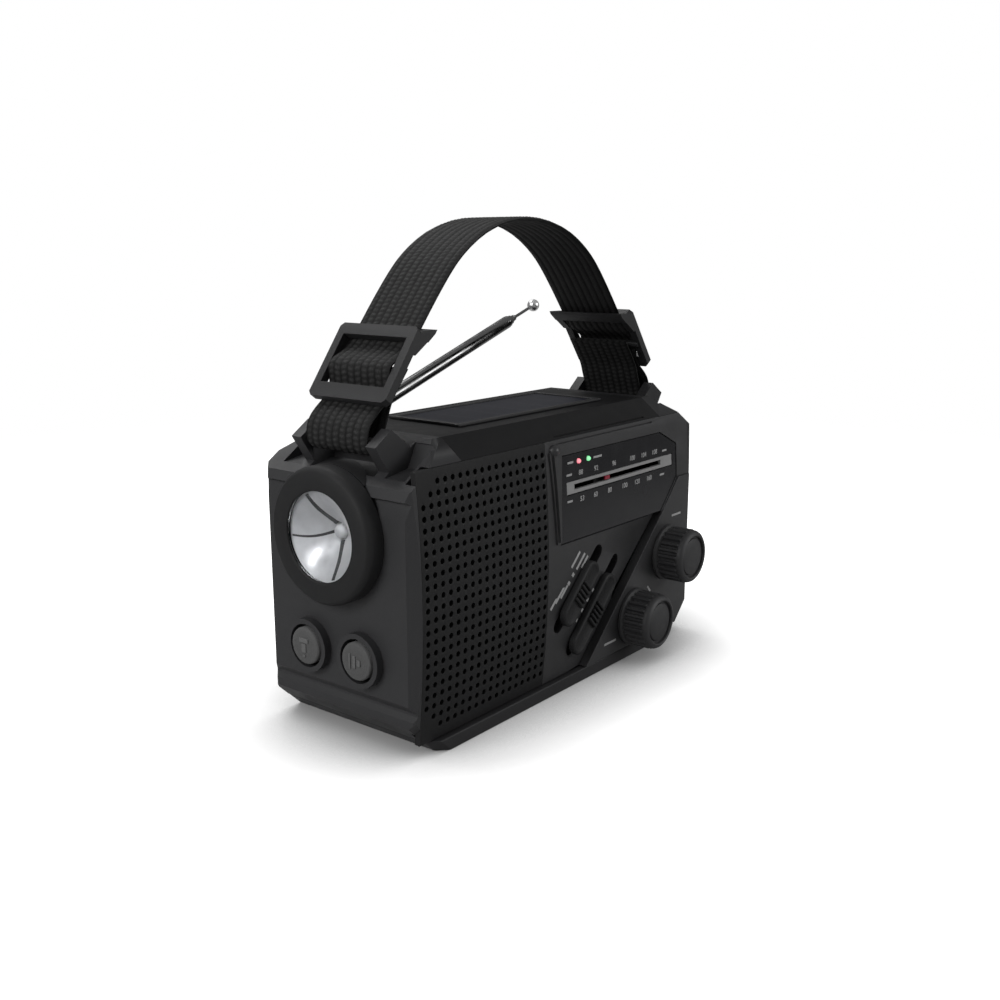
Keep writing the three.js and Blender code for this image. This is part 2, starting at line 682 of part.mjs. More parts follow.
function strapLine() {
  const loop = [12, -30, -75, -120, -160].map((degrees) => {
    const radius = STRAP_BAR_RADIUS + GAP + STRAP_THICKNESS / 2;
    return [
      STRAP_BAR[0] + radius * Math.cos(degrees * DEG),
      STRAP_BAR[1] + radius * Math.sin(degrees * DEG),
    ];
  });
  const half = [
    onBuckle(2, -5.9), onBuckle(-5, -5.6), onBuckle(-10, -5.7), [-67.6, 98],
    ...loop,
    [-75.9, 92.6], onBuckle(-20, -1.9), onBuckle(-15.5, -2.4), onBuckle(-11.5, -3.65),
    onBuckle(-8.2, -4.1), onBuckle(-5.2, -2.2), onBuckle(-2, 0.45), onBuckle(1.6, -0.8),
    onBuckle(5.4, -2.9), onBuckle(9, -3.7), onBuckle(13, -3.9),
    [-47.9, 128.7], [-44.2, 133], [-40.3, 137.3], [-36, 141.5], [-30, 145.9], [-21.8, 150.2],
    [-11.2, 153.3],
  ];
  const other = half.map(([x, z]) => [-x, z]).reverse();
  const all = [...half, [0, 154.3], ...other];
  return new THREE.CatmullRomCurve3(all.map(([x, z]) => new THREE.Vector3(x, 0, z)), false, 'centripetal');
}

function strap() {
  const curve = strapLine();
  const steps = 104;
  const outer = [];
  const inner = [];
  for (let i = 0; i <= steps; i += 1) {
    const at = curve.getPoint(i / steps);
    const along = curve.getTangent(i / steps);
    const nx = -along.z * STRAP_THICKNESS / 2;
    const nz = along.x * STRAP_THICKNESS / 2;
    outer.push([at.x + nx, at.z + nz]);
    inner.push([at.x - nx, at.z - nz]);
  }
  return alongY([...outer, ...inner.reverse()], -STRAP_WIDTH / 2, STRAP_WIDTH / 2);
}

// Local frame: x up the buckle, z out of its face.
function buckleBody() {
  const { half, halfWidth, thickness, rail } = BUCKLE;
  const corner = 1.2;
  const plate = alongZ([
    [-half, -halfWidth + corner], [-half + corner, -halfWidth], [half - corner, -halfWidth],
    [half, -halfWidth + corner], [half, halfWidth - corner], [half - corner, halfWidth],
    [-half + corner, halfWidth], [-half, halfWidth - corner],
  ], -thickness, 0);
  const opening = box(-7.8, 8.8, -halfWidth + rail, halfWidth - rail, -9, 9);
  const bar = rod(1.2, [-2, -halfWidth + 1, -2.1], [-2, halfWidth - 1, -2.1], 12);
  let body = join(cut(plate, opening), bar);
  for (const side of [-1, 1]) {
    const y0 = side < 0 ? -halfWidth : halfWidth - rail;
    body = join(body, alongY([[5, -2], [12.4, -2], [16.2, -7.1], [14.8, -7.1], [5, -3.4]], y0, y0 + rail));
  }
  const crossPanel = [[11, -4.9], [14.5, -4.9], [16.2, -7.1], [14.8, -7.1], [11, -5.9]];
  return join(body, alongY(crossPanel, -halfWidth, halfWidth));
}

function addBuckle(name, body, side) {
  const holder = new THREE.Group();
  holder.position.set(side * -BUCKLE_CENTRE[0], 0, BUCKLE_CENTRE[1]);
  holder.rotation.y = side < 0 ? -BUCKLE_TILT : BUCKLE_TILT;
  radio.add(holder);
  part(name, side < 0 ? body : mirrorX(body), rubber, holder);
}

// ---------------------------------------------------------------- antenna
function antennaBase() {
  const [x, y, z] = ANTENNA_AT;
  const footProfile = [[0, 79], [1.6, 79], [1.6, 81.8], [4.6, 81.8], [4.6, 84.6], [4.1, 85], [0, 85]];
  let body = turned(footProfile, [0, 0, 1], [x, y, 0], 20);
  const ear = [
    [x - 3.3, 84.6], [x + 3.3, 84.6], [x + 3.3, 89.6], [x + 1.8, 91.2], [x - 1.8, 91.2], [x - 3.3, 89.6],
  ];
  for (const side of [-1, 1]) {
    const y0 = y + (side < 0 ? -3.7 : 1.6);
    body = join(body, alongY(ear, y0, y0 + 2.1));
  }
  return cut(body, rod(1.15, [x, y - 9, z], [x, y + 9, z], 12));
}

const ANTENNA_SECTIONS = [
  { name: 'antenna_tube_1', outer: 2.3, inner: 2.05, start: 5, end: 94.3 },
  { name: 'antenna_tube_2', outer: 1.85, inner: 1.62, start: 7, end: 95.8 },
  { name: 'antenna_tube_3', outer: 1.4, inner: 1.12, start: 8, end: 97.3 },
];

function antennaTube({ outer, inner, start, end }) {
  const mouth = inner + 0.04;
  return turned([[inner, start], [outer, start], [outer, end - 1.3], [mouth + 0.02, end], [inner, end]],
    [1, 0, 0], [0, 0, 0], 20);
}

function antennaRoot(tube) {
  const eye = rod(2.7, [0, -1.3, 0], [0, 1.3, 0], 20);
  const neckProfile = [[0, 1], [1.25, 1], [1.25, 4.2], [2.3, 4.8], [2.3, 5.6], [0, 5.6]];
  const neck = turned(neckProfile, [1, 0, 0], [0, 0, 0], 20);
  const pin = rod(0.95, [0, -3.6, 0], [0, 3.6, 0], 12);
  return join(eye, neck, pin, tube);
}

function antennaTip() {
  const profile = [
    [0, 9], [0.85, 9], [0.85, 97.4], [1.1, 97.6], [1.1, 98], [0.55, 99], [0.55, 109], [0, 109],
  ];
  const rodEnd = turned(profile, [1, 0, 0], [0, 0, 0], 14);
  return join(rodEnd, solid(new THREE.SphereGeometry(2.3, 14, 9).translate(110.9, 0, 0)));
}

// ---------------------------------------------------------------- crank and generator
const CRANK_PIVOT_RADIUS = 31;
const GRIP_Y = 26;

function crankArm() {
  const [x, z] = CRANK_AT;
  const end = z + CRANK_PIVOT_RADIUS;
  const hub = turned([[0, 22], [8.6, 22], [8.6, 28.6], [7.6, 29.6], [0, 29.6]], [0, 1, 0], [x, 0, z], 24);
  const bar = alongY([
    [x - 7.7, z - 1], [x + 7.7, z - 1], [x + 7.4, end - 1], [x + 6.3, end + 2.9],
    [x - 6.3, end + 2.9], [x - 7.4, end - 1],
  ], 22.2, 28.4);
  const well = box(x - 5.2, x + 5.2, 20, 45, z + 9.2, end + 9);
  const pinHole = rod(1.3, [x - 20, GRIP_Y, end - 0.4], [x + 20, GRIP_Y, end - 0.4], 14);
  return cut(join(hub, bar), well, pinHole, rod(2.2, [x, 10, z], [x, 24.8, z], 20));
}

function crankGripPin() {
  const [x, z] = CRANK_AT;
  const end = z + CRANK_PIVOT_RADIUS - 0.4;
  return rod(1.05, [x - 7.2, GRIP_Y, end], [x + 7.2, GRIP_Y, end], 12);
}

function gripSpindle() {
  const [x, z] = CRANK_AT;
  const end = z + CRANK_PIVOT_RADIUS - 0.4;
  const eye = rod(2.5, [x - 4.6, GRIP_Y, end], [x + 4.6, GRIP_Y, end], 18);
  const stalk = rod(1.4, [x, GRIP_Y, end], [x, GRIP_Y, z + 10.4], 14);
  const stop = rod(2.1, [x, GRIP_Y, z + 10.9], [x, GRIP_Y, z + 9.9], 14);
  return cut(join(eye, stalk, stop), rod(1.3, [x - 20, GRIP_Y, end], [x + 20, GRIP_Y, end], 14));
}

function gripSleeve() {
  const [x, z] = CRANK_AT;
  const low = z + 11.4;
  const high = z + CRANK_PIVOT_RADIUS - 3.3;
  const profile = [[1.7, low], [3.6, low], [4.4, low + 0.9], [4.4, high - 0.9], [3.6, high], [1.7, high]];
  return turned(profile, [0, 0, 1], [x, GRIP_Y, 0], 24);
}

// Spur gear outline. A tooth is centred on the direction `phase`.
function gearOutline(teeth, phase) {
  const pitchRadius = GEAR_MODULE * teeth / 2;
  const tip = pitchRadius + 0.62;
  const root = pitchRadius - 0.95;
  const points = [];
  const step = 2 * Math.PI / teeth;
  for (let i = 0; i < teeth; i += 1) {
    for (const [offset, radius] of [[-0.27, root], [-0.1, tip], [0.1, tip], [0.27, root]]) {
      const turn = phase + (i + offset) * step;
      points.push([radius * Math.cos(turn), radius * Math.sin(turn)]);
    }
  }
  return points;
}

function gear(teeth, phase, [x, z], y0, y1) {
  const outline = gearOutline(teeth, phase).map(([a, b]) => [x + a, z + b]);
  return alongY(outline, y0, y1);
}

const DRIVE_TEETH = 48;
const IDLER_PINION_TEETH = 12;
const IDLER_TEETH = 40;
const ROTOR_TEETH = 10;
const IDLER_ANGLE = -30 * DEG;
const ROTOR_ANGLE = -150 * DEG;

function polar([x, z], radius, angle) {
  return [x + radius * Math.cos(angle), z + radius * Math.sin(angle)];
}

const IDLER_AT = polar(CRANK_AT, GEAR_MODULE * (DRIVE_TEETH + IDLER_PINION_TEETH) / 2, IDLER_ANGLE);
const ROTOR_AT = polar(IDLER_AT, GEAR_MODULE * (IDLER_TEETH + ROTOR_TEETH) / 2, ROTOR_ANGLE);

function driveGear() {
  const [x, z] = CRANK_AT;
  return cut(gear(DRIVE_TEETH, IDLER_ANGLE, CRANK_AT, 12.6, 15.4), rod(2.3, [x, 5, z], [x, 25, z], 20));
}

function crankShaft() {
  const [x, z] = CRANK_AT;
  return rod(2, [x, 10.2, z], [x, 24.5, z], 20);
}

function idlerGear() {
  const [x, z] = IDLER_AT;
  const halfStep = Math.PI / IDLER_PINION_TEETH;
  return join(
    gear(IDLER_PINION_TEETH, IDLER_ANGLE + Math.PI + halfStep, IDLER_AT, 11, 16),
    gear(IDLER_TEETH, ROTOR_ANGLE, IDLER_AT, 8.4, 11.4),
    rod(2, [x, 5, z], [x, 18, z], 16));
}

function dynamoRotor() {
  const [x, z] = ROTOR_AT;
  const halfStep = Math.PI / ROTOR_TEETH;
  return join(
    gear(ROTOR_TEETH, ROTOR_ANGLE + Math.PI + halfStep, ROTOR_AT, 7.8, 12),
    rod(1.5, [x, 2, z], [x, 8.5, z], 14),
    rod(9.4, [x, -5, z], [x, 3, z], 28));
}

function dynamoCase() {
  const [x, z] = ROTOR_AT;
  return turned([[0, -8], [13.4, -8], [13.4, 6], [10, 6], [10, -5.6], [0, -5.6]], [0, 1, 0], [x, 0, z], 24);
}

// ---------------------------------------------------------------- speaker, board, battery
const SPEAKER_AT = [-44.9, -28, 45.5];

function speakerBasket() {
  return turned([[22.5, 0], [25.5, 0], [25.5, 1.5], [23.2, 1.5], [13, 13], [8, 13], [8, 11.6], [12.2, 11.6]],
    [0, 1, 0], SPEAKER_AT, 22);
}

function speakerCone() {
  return turned([[0, 9.2], [6.6, 9.2], [20.4, 0.4], [21, 0.4], [21, 1.1], [7, 10], [0, 10]],
    [0, 1, 0], SPEAKER_AT, 22);
}

function speakerMagnet() {
  return turned([[0, 13.3], [12.5, 13.3], [12.5, 20], [0, 20]], [0, 1, 0], SPEAKER_AT, 22);
}

function mainBoard() {
  const plate = box(-11, 68, -17.9, -16.3, 8, 61);
  const chips = [[4, 14, 42, 52], [24, 30, 30, 36], [44, 56, 50, 58]];
  return chips.reduce((body, [x0, x1, z0, z1]) => join(body, box(x0, x1, -16.8, -14.6, z0, z1)), plate);
}

function ferriteRod() {
  return join(rod(4, [-40, -8, 82], [40, -8, 82], 20), rod(5, [-20, -8, 82], [4, -8, 82], 20));
}

function batteryCell() {
  const profile = [[0, 8.5], [9.2, 8.5], [9.2, 72.4], [5, 72.4], [5, 73.6], [0, 73.6]];
  return turned(profile, [0, 0, 1], [-38.2, 16.6, 0], 28);
}

// ---------------------------------------------------------------- assembly
part('base_tray', baseTray(), housing);
part('top_cover', topCover(), housing);
part('rear_cover', rearCover(), housing);
const core = capCore();
part('left_end_cap', leftEndCap(core), housing);
part('right_end_cap', rightEndCap(core), housing);
part('speaker_grille', common(faceSlab, box(-90, SPLIT_X - SEAM / 2, -40, 0, 0, 99)), housing);
part('front_fascia', frontFascia(), housing);
part('knob_panel', knobPanel(), housing);
part('dial_window', dialWindow(), glossy);
part('dial_scale', dialScale(), scaleWhite);
part('dial_pointer', dialPointer(), pointerRed);
for (const led of LEDS) part(led.name, ledLens(led.x), led.material);
for (const item of SWITCHES) part(item.name, slider(item), rubber);
part('slide_switch_block', switchBlock(), board);

const knob = knobBody();
addKnob('tuning_knob', TUNING_AT, knob);
addKnob('volume_knob', VOLUME_AT, knob);
part('tuning_capacitor', tuningCapacitor(), steel);
part('volume_potentiometer', volumePot(), steel);

part('torch_bezel', torchBezel(), rubber);
part('torch_lens', torchLens(), clear);
part('torch_reflector', torchReflector(), chrome);
part('torch_board', torchBoard(), board);
part('torch_button', endButton(1), rubber);
part('alarm_button', endButton(-1), rubber);
part('port_cover', portCover(), rubber);
part('port_block', portBlock(), steel);

part('solar_frame', solarFrame(), housing);
part('solar_panel', solarPanel(), solarGlass);

for (const [name, side] of [['strap_bar_left', 1], ['strap_bar_right', -1]]) {
  const x = side * STRAP_BAR[0];
  part(name, rod(STRAP_BAR_RADIUS, [x, -16.2, STRAP_BAR[1]], [x, 16.2, STRAP_BAR[1]], 18), steel);
}
part('strap_webbing', strap(), webbing);
const buckle = buckleBody();
addBuckle('buckle_left', buckle, -1);
addBuckle('buckle_right', buckle, 1);

part('antenna_base', antennaBase(), steel);
const raised = new THREE.Group();
raised.position.set(...ANTENNA_AT);
raised.rotation.y = -ANTENNA_RAISE;
radio.add(raised);
for (const section of ANTENNA_SECTIONS) {
  const tube = antennaTube(section);
  const isRoot = section.name === 'antenna_tube_1';
  part(section.name, isRoot ? antennaRoot(tube) : tube, chrome, raised);
}
part('antenna_tip', antennaTip(), chrome, raised);

part('crank_arm', crankArm(), rubber);
part('crank_grip_pin', crankGripPin(), steel);
part('crank_shaft', crankShaft(), steel);
part('crank_drive_gear', driveGear(), nylon);
part('grip_spindle', gripSpindle(), steel);
part('grip_sleeve', gripSleeve(), rubber);
part('idler_gear', idlerGear(), nylon);
part('dynamo_rotor', dynamoRotor(), magnetGrey);
part('dynamo_case', dynamoCase(), steel);

part('speaker_basket', speakerBasket(), steel);
part('speaker_cone', speakerCone(), paper);
part('speaker_magnet', speakerMagnet(), magnetGrey);
part('main_board', mainBoard(), board);
part('ferrite_rod', ferriteRod(), magnetGrey);
part('battery_cell', batteryCell(), cellBlue);
part('battery_door', box(DOOR.x0, DOOR.x1, DOOR.y0, DOOR.y1, DOOR.z0, DOOR.z1), housing);

const screw = screwGeometry();
SCREWS_AT.forEach(([x, z], i) => {
  part(`rear_screw_${i + 1}`, screw, steel).position.set(x, REAR_Y - 14.9, z);
});

export default radio;
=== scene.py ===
"""Looks for a portable emergency radio: moulded plastic, webbing handle, torch, dial and controls."""
import json
import math

import bmesh
import bpy
from mathutils import Matrix, Vector
from mathutils.bvhtree import BVHTree


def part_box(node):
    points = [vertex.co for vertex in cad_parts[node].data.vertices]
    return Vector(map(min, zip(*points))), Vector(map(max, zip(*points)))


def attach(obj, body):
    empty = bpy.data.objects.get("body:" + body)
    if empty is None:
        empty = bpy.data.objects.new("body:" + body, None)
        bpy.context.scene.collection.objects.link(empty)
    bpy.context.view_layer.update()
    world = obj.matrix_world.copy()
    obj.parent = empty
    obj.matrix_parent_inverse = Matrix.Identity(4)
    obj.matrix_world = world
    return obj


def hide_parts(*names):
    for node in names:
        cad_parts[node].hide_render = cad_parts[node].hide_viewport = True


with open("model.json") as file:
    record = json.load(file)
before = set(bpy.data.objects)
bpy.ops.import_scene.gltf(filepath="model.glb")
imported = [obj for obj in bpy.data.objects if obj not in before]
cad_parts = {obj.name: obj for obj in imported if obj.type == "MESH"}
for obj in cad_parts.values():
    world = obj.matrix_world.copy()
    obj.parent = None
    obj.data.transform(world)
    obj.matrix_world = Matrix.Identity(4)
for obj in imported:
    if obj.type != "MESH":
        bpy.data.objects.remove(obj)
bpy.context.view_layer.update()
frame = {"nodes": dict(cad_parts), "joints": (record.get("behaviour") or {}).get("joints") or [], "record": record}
NODES = frame["nodes"]
JOINTS = {joint["name"]: joint for joint in frame["joints"]}
MM = 0.001
YARN_MARK = "yarn_height"
NOISE_LOW, NOISE_HIGH = 0.3, 0.7          # where most of a noise value lies
EDGE_FROM, EDGE_TO, EDGE_MOST = 0.52, 0.62, 0.35   # how worn an edge looks against its pointiness

# ---------------------------------------------------------------- finishes


class Finish:
    """A material built on the Principled shader, with its texture space in millimetres."""

    def __init__(self, name, color, roughness, metallic=0.0):
        self.material = bpy.data.materials.new(name)
        self.material.use_nodes = True
        self.tree = self.material.node_tree
        self.shader = self.tree.nodes["Principled BSDF"]
        self.set("Base Color", (*color, 1))
        self.set("Roughness", roughness)
        self.set("Metallic", metallic)
        self.place = self.node("ShaderNodeTexCoord").outputs["Object"]

    def node(self, kind, **settings):
        made = self.tree.nodes.new(kind)
        for key, value in settings.items():
            setattr(made, key, value)
        return made

    def link(self, source, target):
        self.tree.links.new(source, target)

    def set(self, name, value):
        self.shader.inputs[name].default_value = value

    def noise(self, size_mm, detail=3.0):
        made = self.node("ShaderNodeTexNoise")
        made.inputs["Scale"].default_value = 1 / (size_mm * MM)
        made.inputs["Detail"].default_value = detail
        self.link(self.place, made.inputs["Vector"])
        return made.outputs["Fac"]

    def spread(self, value, low, high):
        made = self.node("ShaderNodeMapRange")
        made.inputs["To Min"].default_value = low
        made.inputs["To Max"].default_value = high
        made.inputs["From Min"].default_value = NOISE_LOW
        made.inputs["From Max"].default_value = NOISE_HIGH
        self.link(value, made.inputs["Value"])
        return made.outputs["Result"]

    def tint(self, value, dark, light):
        made = self.node("ShaderNodeMix", data_type="RGBA")
        self.link(value, made.inputs["Factor"])
        made.inputs[6].default_value = (*dark, 1)
        made.inputs[7].default_value = (*light, 1)
        self.link(made.outputs[2], self.shader.inputs["Base Color"])
        return made

    def bump(self, height, depth_mm, strength=1.0):
        made = self.node("ShaderNodeBump")
        made.inputs["Distance"].default_value = depth_mm * MM
        made.inputs["Strength"].default_value = strength
        self.link(height, made.inputs["Height"])
        self.link(made.outputs["Normal"], self.shader.inputs["Normal"])

    def worn_edges(self, mix, light):
        edge = self.node("ShaderNodeNewGeometry").outputs["Pointiness"]
        ramp = self.node("ShaderNodeMapRange")
        ramp.inputs["From Min"].default_value = EDGE_FROM
        ramp.inputs["From Max"].default_value = EDGE_TO
        ramp.inputs["To Max"].default_value = EDGE_MOST
        self.link(edge, ramp.inputs["Value"])
        over = self.node("ShaderNodeMix", data_type="RGBA")
        self.link(ramp.outputs["Result"], over.inputs["Factor"])
        self.link(mix.outputs[2], over.inputs[6])
        over.inputs[7].default_value = (*light, 1)
        self.link(over.outputs[2], self.shader.inputs["Base Color"])


def grey(level, blue=0.0):
    return (level, level, level * (1 + blue))


def grained(name, level, roughness, grain_mm, depth_mm, blue=0.05, shine=0.5):
    """Moulded plastic or rubber: spark-eroded grain, slow colour drift and paler edges."""
    made = Finish(name, grey(level, blue), roughness)
    made.set("Specular IOR Level", shine)
    drift = made.spread(made.noise(9, 2), roughness - 0.05, roughness + 0.06)
    made.link(drift, made.shader.inputs["Roughness"])
    mix = made.tint(made.noise(26, 2), grey(level * 0.85, blue), grey(level * 1.2, blue))
    made.worn_edges(mix, grey(level * 3.2, blue))
    made.bump(made.noise(grain_mm, 2), depth_mm)
    return made.material


def metal(name, level, roughness, brushed=False):
    made = Finish(name, grey(level), roughness, 1.0)
    made.link(made.spread(made.noise(6), roughness * 0.7, roughness * 1.5), made.shader.inputs["Roughness"])
    made.tint(made.noise(14, 2), grey(level * 0.86), grey(level))
    if brushed:
        made.bump(made.noise(0.25), 0.01)
    return made.material


def solid_color(name, color, roughness):
    made = Finish(name, color, roughness)
    dark = tuple(c * 0.8 for c in color)
    made.tint(made.noise(4), dark, color)
    return made.material


def lamp(name, color, glow):
    """A lit indicator lamp, nearly white where it faces the eye and coloured towards its edge."""
    made = Finish(name, color, 0.2)
    facing = made.node("ShaderNodeLayerWeight")
    facing.inputs["Blend"].default_value = 0.35
    mix = made.tint(facing.outputs["Facing"], tuple(0.25 + 0.75 * c for c in color), color)
    made.link(mix.outputs[2], made.shader.inputs["Emission Color"])
    made.set("Emission Strength", glow)
    return made.material


def woven(name):
    """Polypropylene webbing, with painted shade between its yarns and a painted highlight where a yarn stands
    proud.
    """
    made = Finish(name, grey(0.016), 0.7)
    made.set("Specular IOR Level", 0.25)
    # Yarn height times a fibre noise drives the colour: painted shade between the yarns, painted highlight on the
    # proud ones.
    proud = made.node("ShaderNodeAttribute", attribute_name=YARN_MARK)
    yarn_shade_and_fibre = made.node("ShaderNodeMath", operation="MULTIPLY")
    made.link(proud.outputs["Fac"], yarn_shade_and_fibre.inputs[0])
    made.link(made.spread(made.noise(0.5, 4), 0.35, 1.0), yarn_shade_and_fibre.inputs[1])
    made.tint(yarn_shade_and_fibre.outputs[0], grey(0.002), grey(0.045))
    made.bump(made.noise(0.16, 3), 0.06)
    return made.material


def clear_lens():
    made = Finish("clear_lens", (0.97, 0.98, 1.0), 0.03)
    made.set("Transmission Weight", 1.0)
    made.set("IOR", 1.2)
    made.link(made.spread(made.noise(5), 0.01, 0.05), made.shader.inputs["Roughness"])
    return made.material


def solar_finish():
    """Dark laminated silicon cut into cells, with fine silver collector lines."""
    low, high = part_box("solar_panel")
    made = Finish("solar_laminate", (0.012, 0.013, 0.022), 0.38)
    parts = made.node("ShaderNodeSeparateXYZ")
    made.link(made.place, parts.inputs[0])
    finger_pitch = 2.0 * MM
    cell_pitch = (high.x - low.x) / 6

    def stripes(coordinate, pitch, width):
        scaled = made.node("ShaderNodeMath", operation="DIVIDE")
        made.link(coordinate, scaled.inputs[0])
        scaled.inputs[1].default_value = pitch
        wrapped = made.node("ShaderNodeMath", operation="FRACT")
        made.link(scaled.outputs[0], wrapped.inputs[0])
        line = made.node("ShaderNodeMath", operation="LESS_THAN")
        made.link(wrapped.outputs[0], line.inputs[0])
        line.inputs[1].default_value = width
        return line.outputs[0]

    both = made.node("ShaderNodeMath", operation="MAXIMUM")
    made.link(stripes(parts.outputs["X"], cell_pitch, 0.025), both.inputs[0])
    made.link(stripes(parts.outputs["Y"], finger_pitch, 0.04), both.inputs[1])
    made.tint(both.outputs[0], (0.010, 0.011, 0.020), (0.05, 0.05, 0.06))
    made.set("Specular IOR Level", 0.14)
    return made.material


FINISH = {
    "housing": grained("housing_plastic", 0.018, 0.5, 0.32, 0.03, 0.05, 0.3),
    # Lighter, shinier copy of the housing plastic: painted sheen for the light on the front.
    "fascia": grained("fascia_plastic_lit", 0.022, 0.45, 0.32, 0.03, 0.05, 0.45),
    # Darker, duller copy of the housing plastic: painted shade for the dimly lit top.
    "top_plastic": grained("top_plastic", 0.009, 0.5, 0.32, 0.03, 0.05, 0.18),
    "grille": grained("grille_plastic", 0.009, 0.5, 0.32, 0.03, 0.05, 0.25),
    "buckle": grained("buckle_plastic", 0.018, 0.46, 0.4, 0.02, 0.05, 0.4),
    "window": grained("smoked_window", 0.012, 0.22, 1.2, 0.002, 0.12, 0.3),
    "scale": solid_color("scale_print", grey(0.3), 0.45),
    "pointer": solid_color("pointer_red", (0.3, 0.01, 0.03), 0.4),
    "red_lamp": lamp("red_lamp_lens", (0.85, 0.10, 0.16), 0.9),
    "green_lamp": lamp("green_lamp_lens", (0.08, 0.7, 0.22), 0.9),
    "soft_control": grained("soft_touch_rubber", 0.012, 0.6, 0.25, 0.025, 0.05, 0.28),
    "knob_rubber": grained("knob_rubber", 0.024, 0.55, 0.25, 0.025, 0.05, 0.45),
    "board": solid_color("solder_resist", (0.015, 0.09, 0.04), 0.4),
    "plated_steel": metal("zinc_plate", 0.42, 0.35, True),
    "lens": clear_lens(),
    "reflector": metal("vacuum_metal", 0.8, 0.6),
    "solar_cell": solar_finish(),
    "webbing": woven("webbing_yarn"),
    "antenna_chrome": metal("bright_chrome", 0.24, 0.2),
    "ball_chrome": metal("ball_chrome", 0.95, 0.3),
    "gear_nylon": solid_color("moulded_nylon", (0.62, 0.58, 0.48), 0.45),
    "magnet": metal("sintered_magnet", 0.12, 0.5),
    "cone_paper": solid_color("cone_paper", grey(0.02), 0.9),
    "cell_sleeve": solid_color("cell_sleeve", (0.03, 0.12, 0.3), 0.3),
    "print": solid_color("pad_print", grey(0.42), 0.5),
    # Near-black for parts seen only down slots and behind the window: painted shade.
    "cavity": solid_color("cavity_shade", grey(0.002), 0.95),
    # Dark strips laid over the reflector's folds: painted shade.
    "crease": solid_color("reflector_crease_shade", grey(0.05), 0.6),
    "button_rubber": grained("speckled_rubber", 0.085, 0.8, 0.6, 0.22, 0.0, 0.3),
}

# ---------------------------------------------------------------- pieces


def add_piece(name, verts, faces, finish, body, stands_for=(), smooth_deg=38):
    mesh = bpy.data.meshes.new(name)
    mesh.from_pydata([tuple(v) for v in verts], [], faces)
    mesh.validate()
    face_outwards(mesh)
    mesh.shade_smooth()
    mesh.set_sharp_from_angle(angle=math.radians(smooth_deg))
    piece = bpy.data.objects.new(name, mesh)
    bpy.context.scene.collection.objects.link(piece)
    mesh.materials.append(FINISH[finish])
    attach(piece, body)
    if stands_for:
        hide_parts(*stands_for)
    return piece


def face_outwards(mesh):
    work = bmesh.new()
    work.from_mesh(mesh)
    bmesh.ops.recalc_face_normals(work, faces=work.faces)
    work.to_mesh(mesh)
    work.free()


def soften(piece, width_mm, segments=2, angle_deg=32):
    """Rounds the sharp edges of a piece."""
    bevel = piece.modifiers.new("edges", "BEVEL")
    bevel.width = width_mm * MM
    bevel.segments = segments
    bevel.limit_method = "ANGLE"
    bevel.angle_limit = math.radians(angle_deg)
    piece.modifiers.new("shading", "WEIGHTED_NORMAL").keep_sharp = True


def revolve(profile, centre, direction, steps, ribs=None):
    """Vertices and faces of [radius, height] points (mm) turned about a line through centre."""
    turn = Vector((0, 0, 1)).rotation_difference(Vector(direction))
    verts, faces, rings = [], [], []
    for index, (radius, height) in enumerate(profile):
        if radius == 0:
            rings.append([len(verts)] * steps)
            verts.append(centre + turn @ Vector((0, 0, height * MM)))
            continue
        rings.append(list(range(len(verts), len(verts) + steps)))
        for step in range(steps):
            angle = 2 * math.pi * step / steps
            reach = radius + (ribs(index, angle) if ribs else 0)
            spot = Vector((reach * math.cos(angle), reach * math.sin(angle), height)) * MM
            verts.append(centre + turn @ spot)
    closed = profile[0][0] != 0
    pairs = list(zip(rings, rings[1:]))
    if closed:
        pairs.append((rings[-1], rings[0]))
    for low, high in pairs:
        for step in range(steps):
            after = (step + 1) % steps
            corners = [low[step], low[after], high[after], high[step]]
            kept = [c for i, c in enumerate(corners) if c not in corners[:i]]
            if len(kept) > 2:
                faces.append(kept)
    return verts, faces


def middle(node):
    low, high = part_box(node)
    return (low + high) / 2


def surface_of(*names):
    work = bmesh.new()
    for name in names:
        work.from_mesh(NODES[name].data)
    tree = BVHTree.FromBMesh(work)
    work.free()
    return tree


FRONT = surface_of("front_fascia", "dial_window", "dial_scale", "knob_panel", "speaker_grille")


def front_y(x_mm, z_mm):
    """Depth of the front of the radio at a point, in metres."""
    start = Vector((x_mm * MM, -0.2, z_mm * MM))
    spot = FRONT.ray_cast(start, Vector((0, 1, 0)))[0]
    return spot.y


# ---------------------------------------------------------------- carried-over CAD nodes

EDGE_MM = {
    "base_tray": 0.5, "top_cover": 0.5, "rear_cover": 0.4, "left_end_cap": 0.5, "right_end_cap": 0.5,
    "front_fascia": 0.3, "knob_panel": 0.4, "dial_window": 0.15,
    "buckle_left": 0.7, "buckle_right": 0.7, "solar_frame": 0.25,
    "solar_panel": 0.15, "port_cover": 0.3, "battery_door": 0.3, "crank_arm": 0.5,
}


def dress_node(name, slot):
    node = NODES[name]
    node.data.materials.clear()
    node.data.materials.append(FINISH[slot])
    node.data.polygons.foreach_set("use_smooth", [True] * len(node.data.polygons))
    weld = node.modifiers.new("weld", "WELD")
    weld.merge_threshold = 0.002 * MM
    flatten = node.modifiers.new("flatten", "DECIMATE")
    flatten.decimate_type = "DISSOLVE"
    flatten.angle_limit = math.radians(0.6)
    soften(node, EDGE_MM.get(name, 0.12))


for entry in frame["record"]["subparts"]:
    dress_node(entry["node"], entry["material_slot"])
NODES["speaker_basket"].data.materials[0] = FINISH["magnet"]
# The switch block, seen only through the slots, is painted near-black as shade.
NODES["slide_switch_block"].data.materials[0] = FINISH["cavity"]
# Front fascia and knob panel take the lighter, shinier copy: painted sheen on the front.
NODES["front_fascia"].data.materials[0] = FINISH["fascia"]
NODES["knob_panel"].data.materials[0] = FINISH["fascia"]
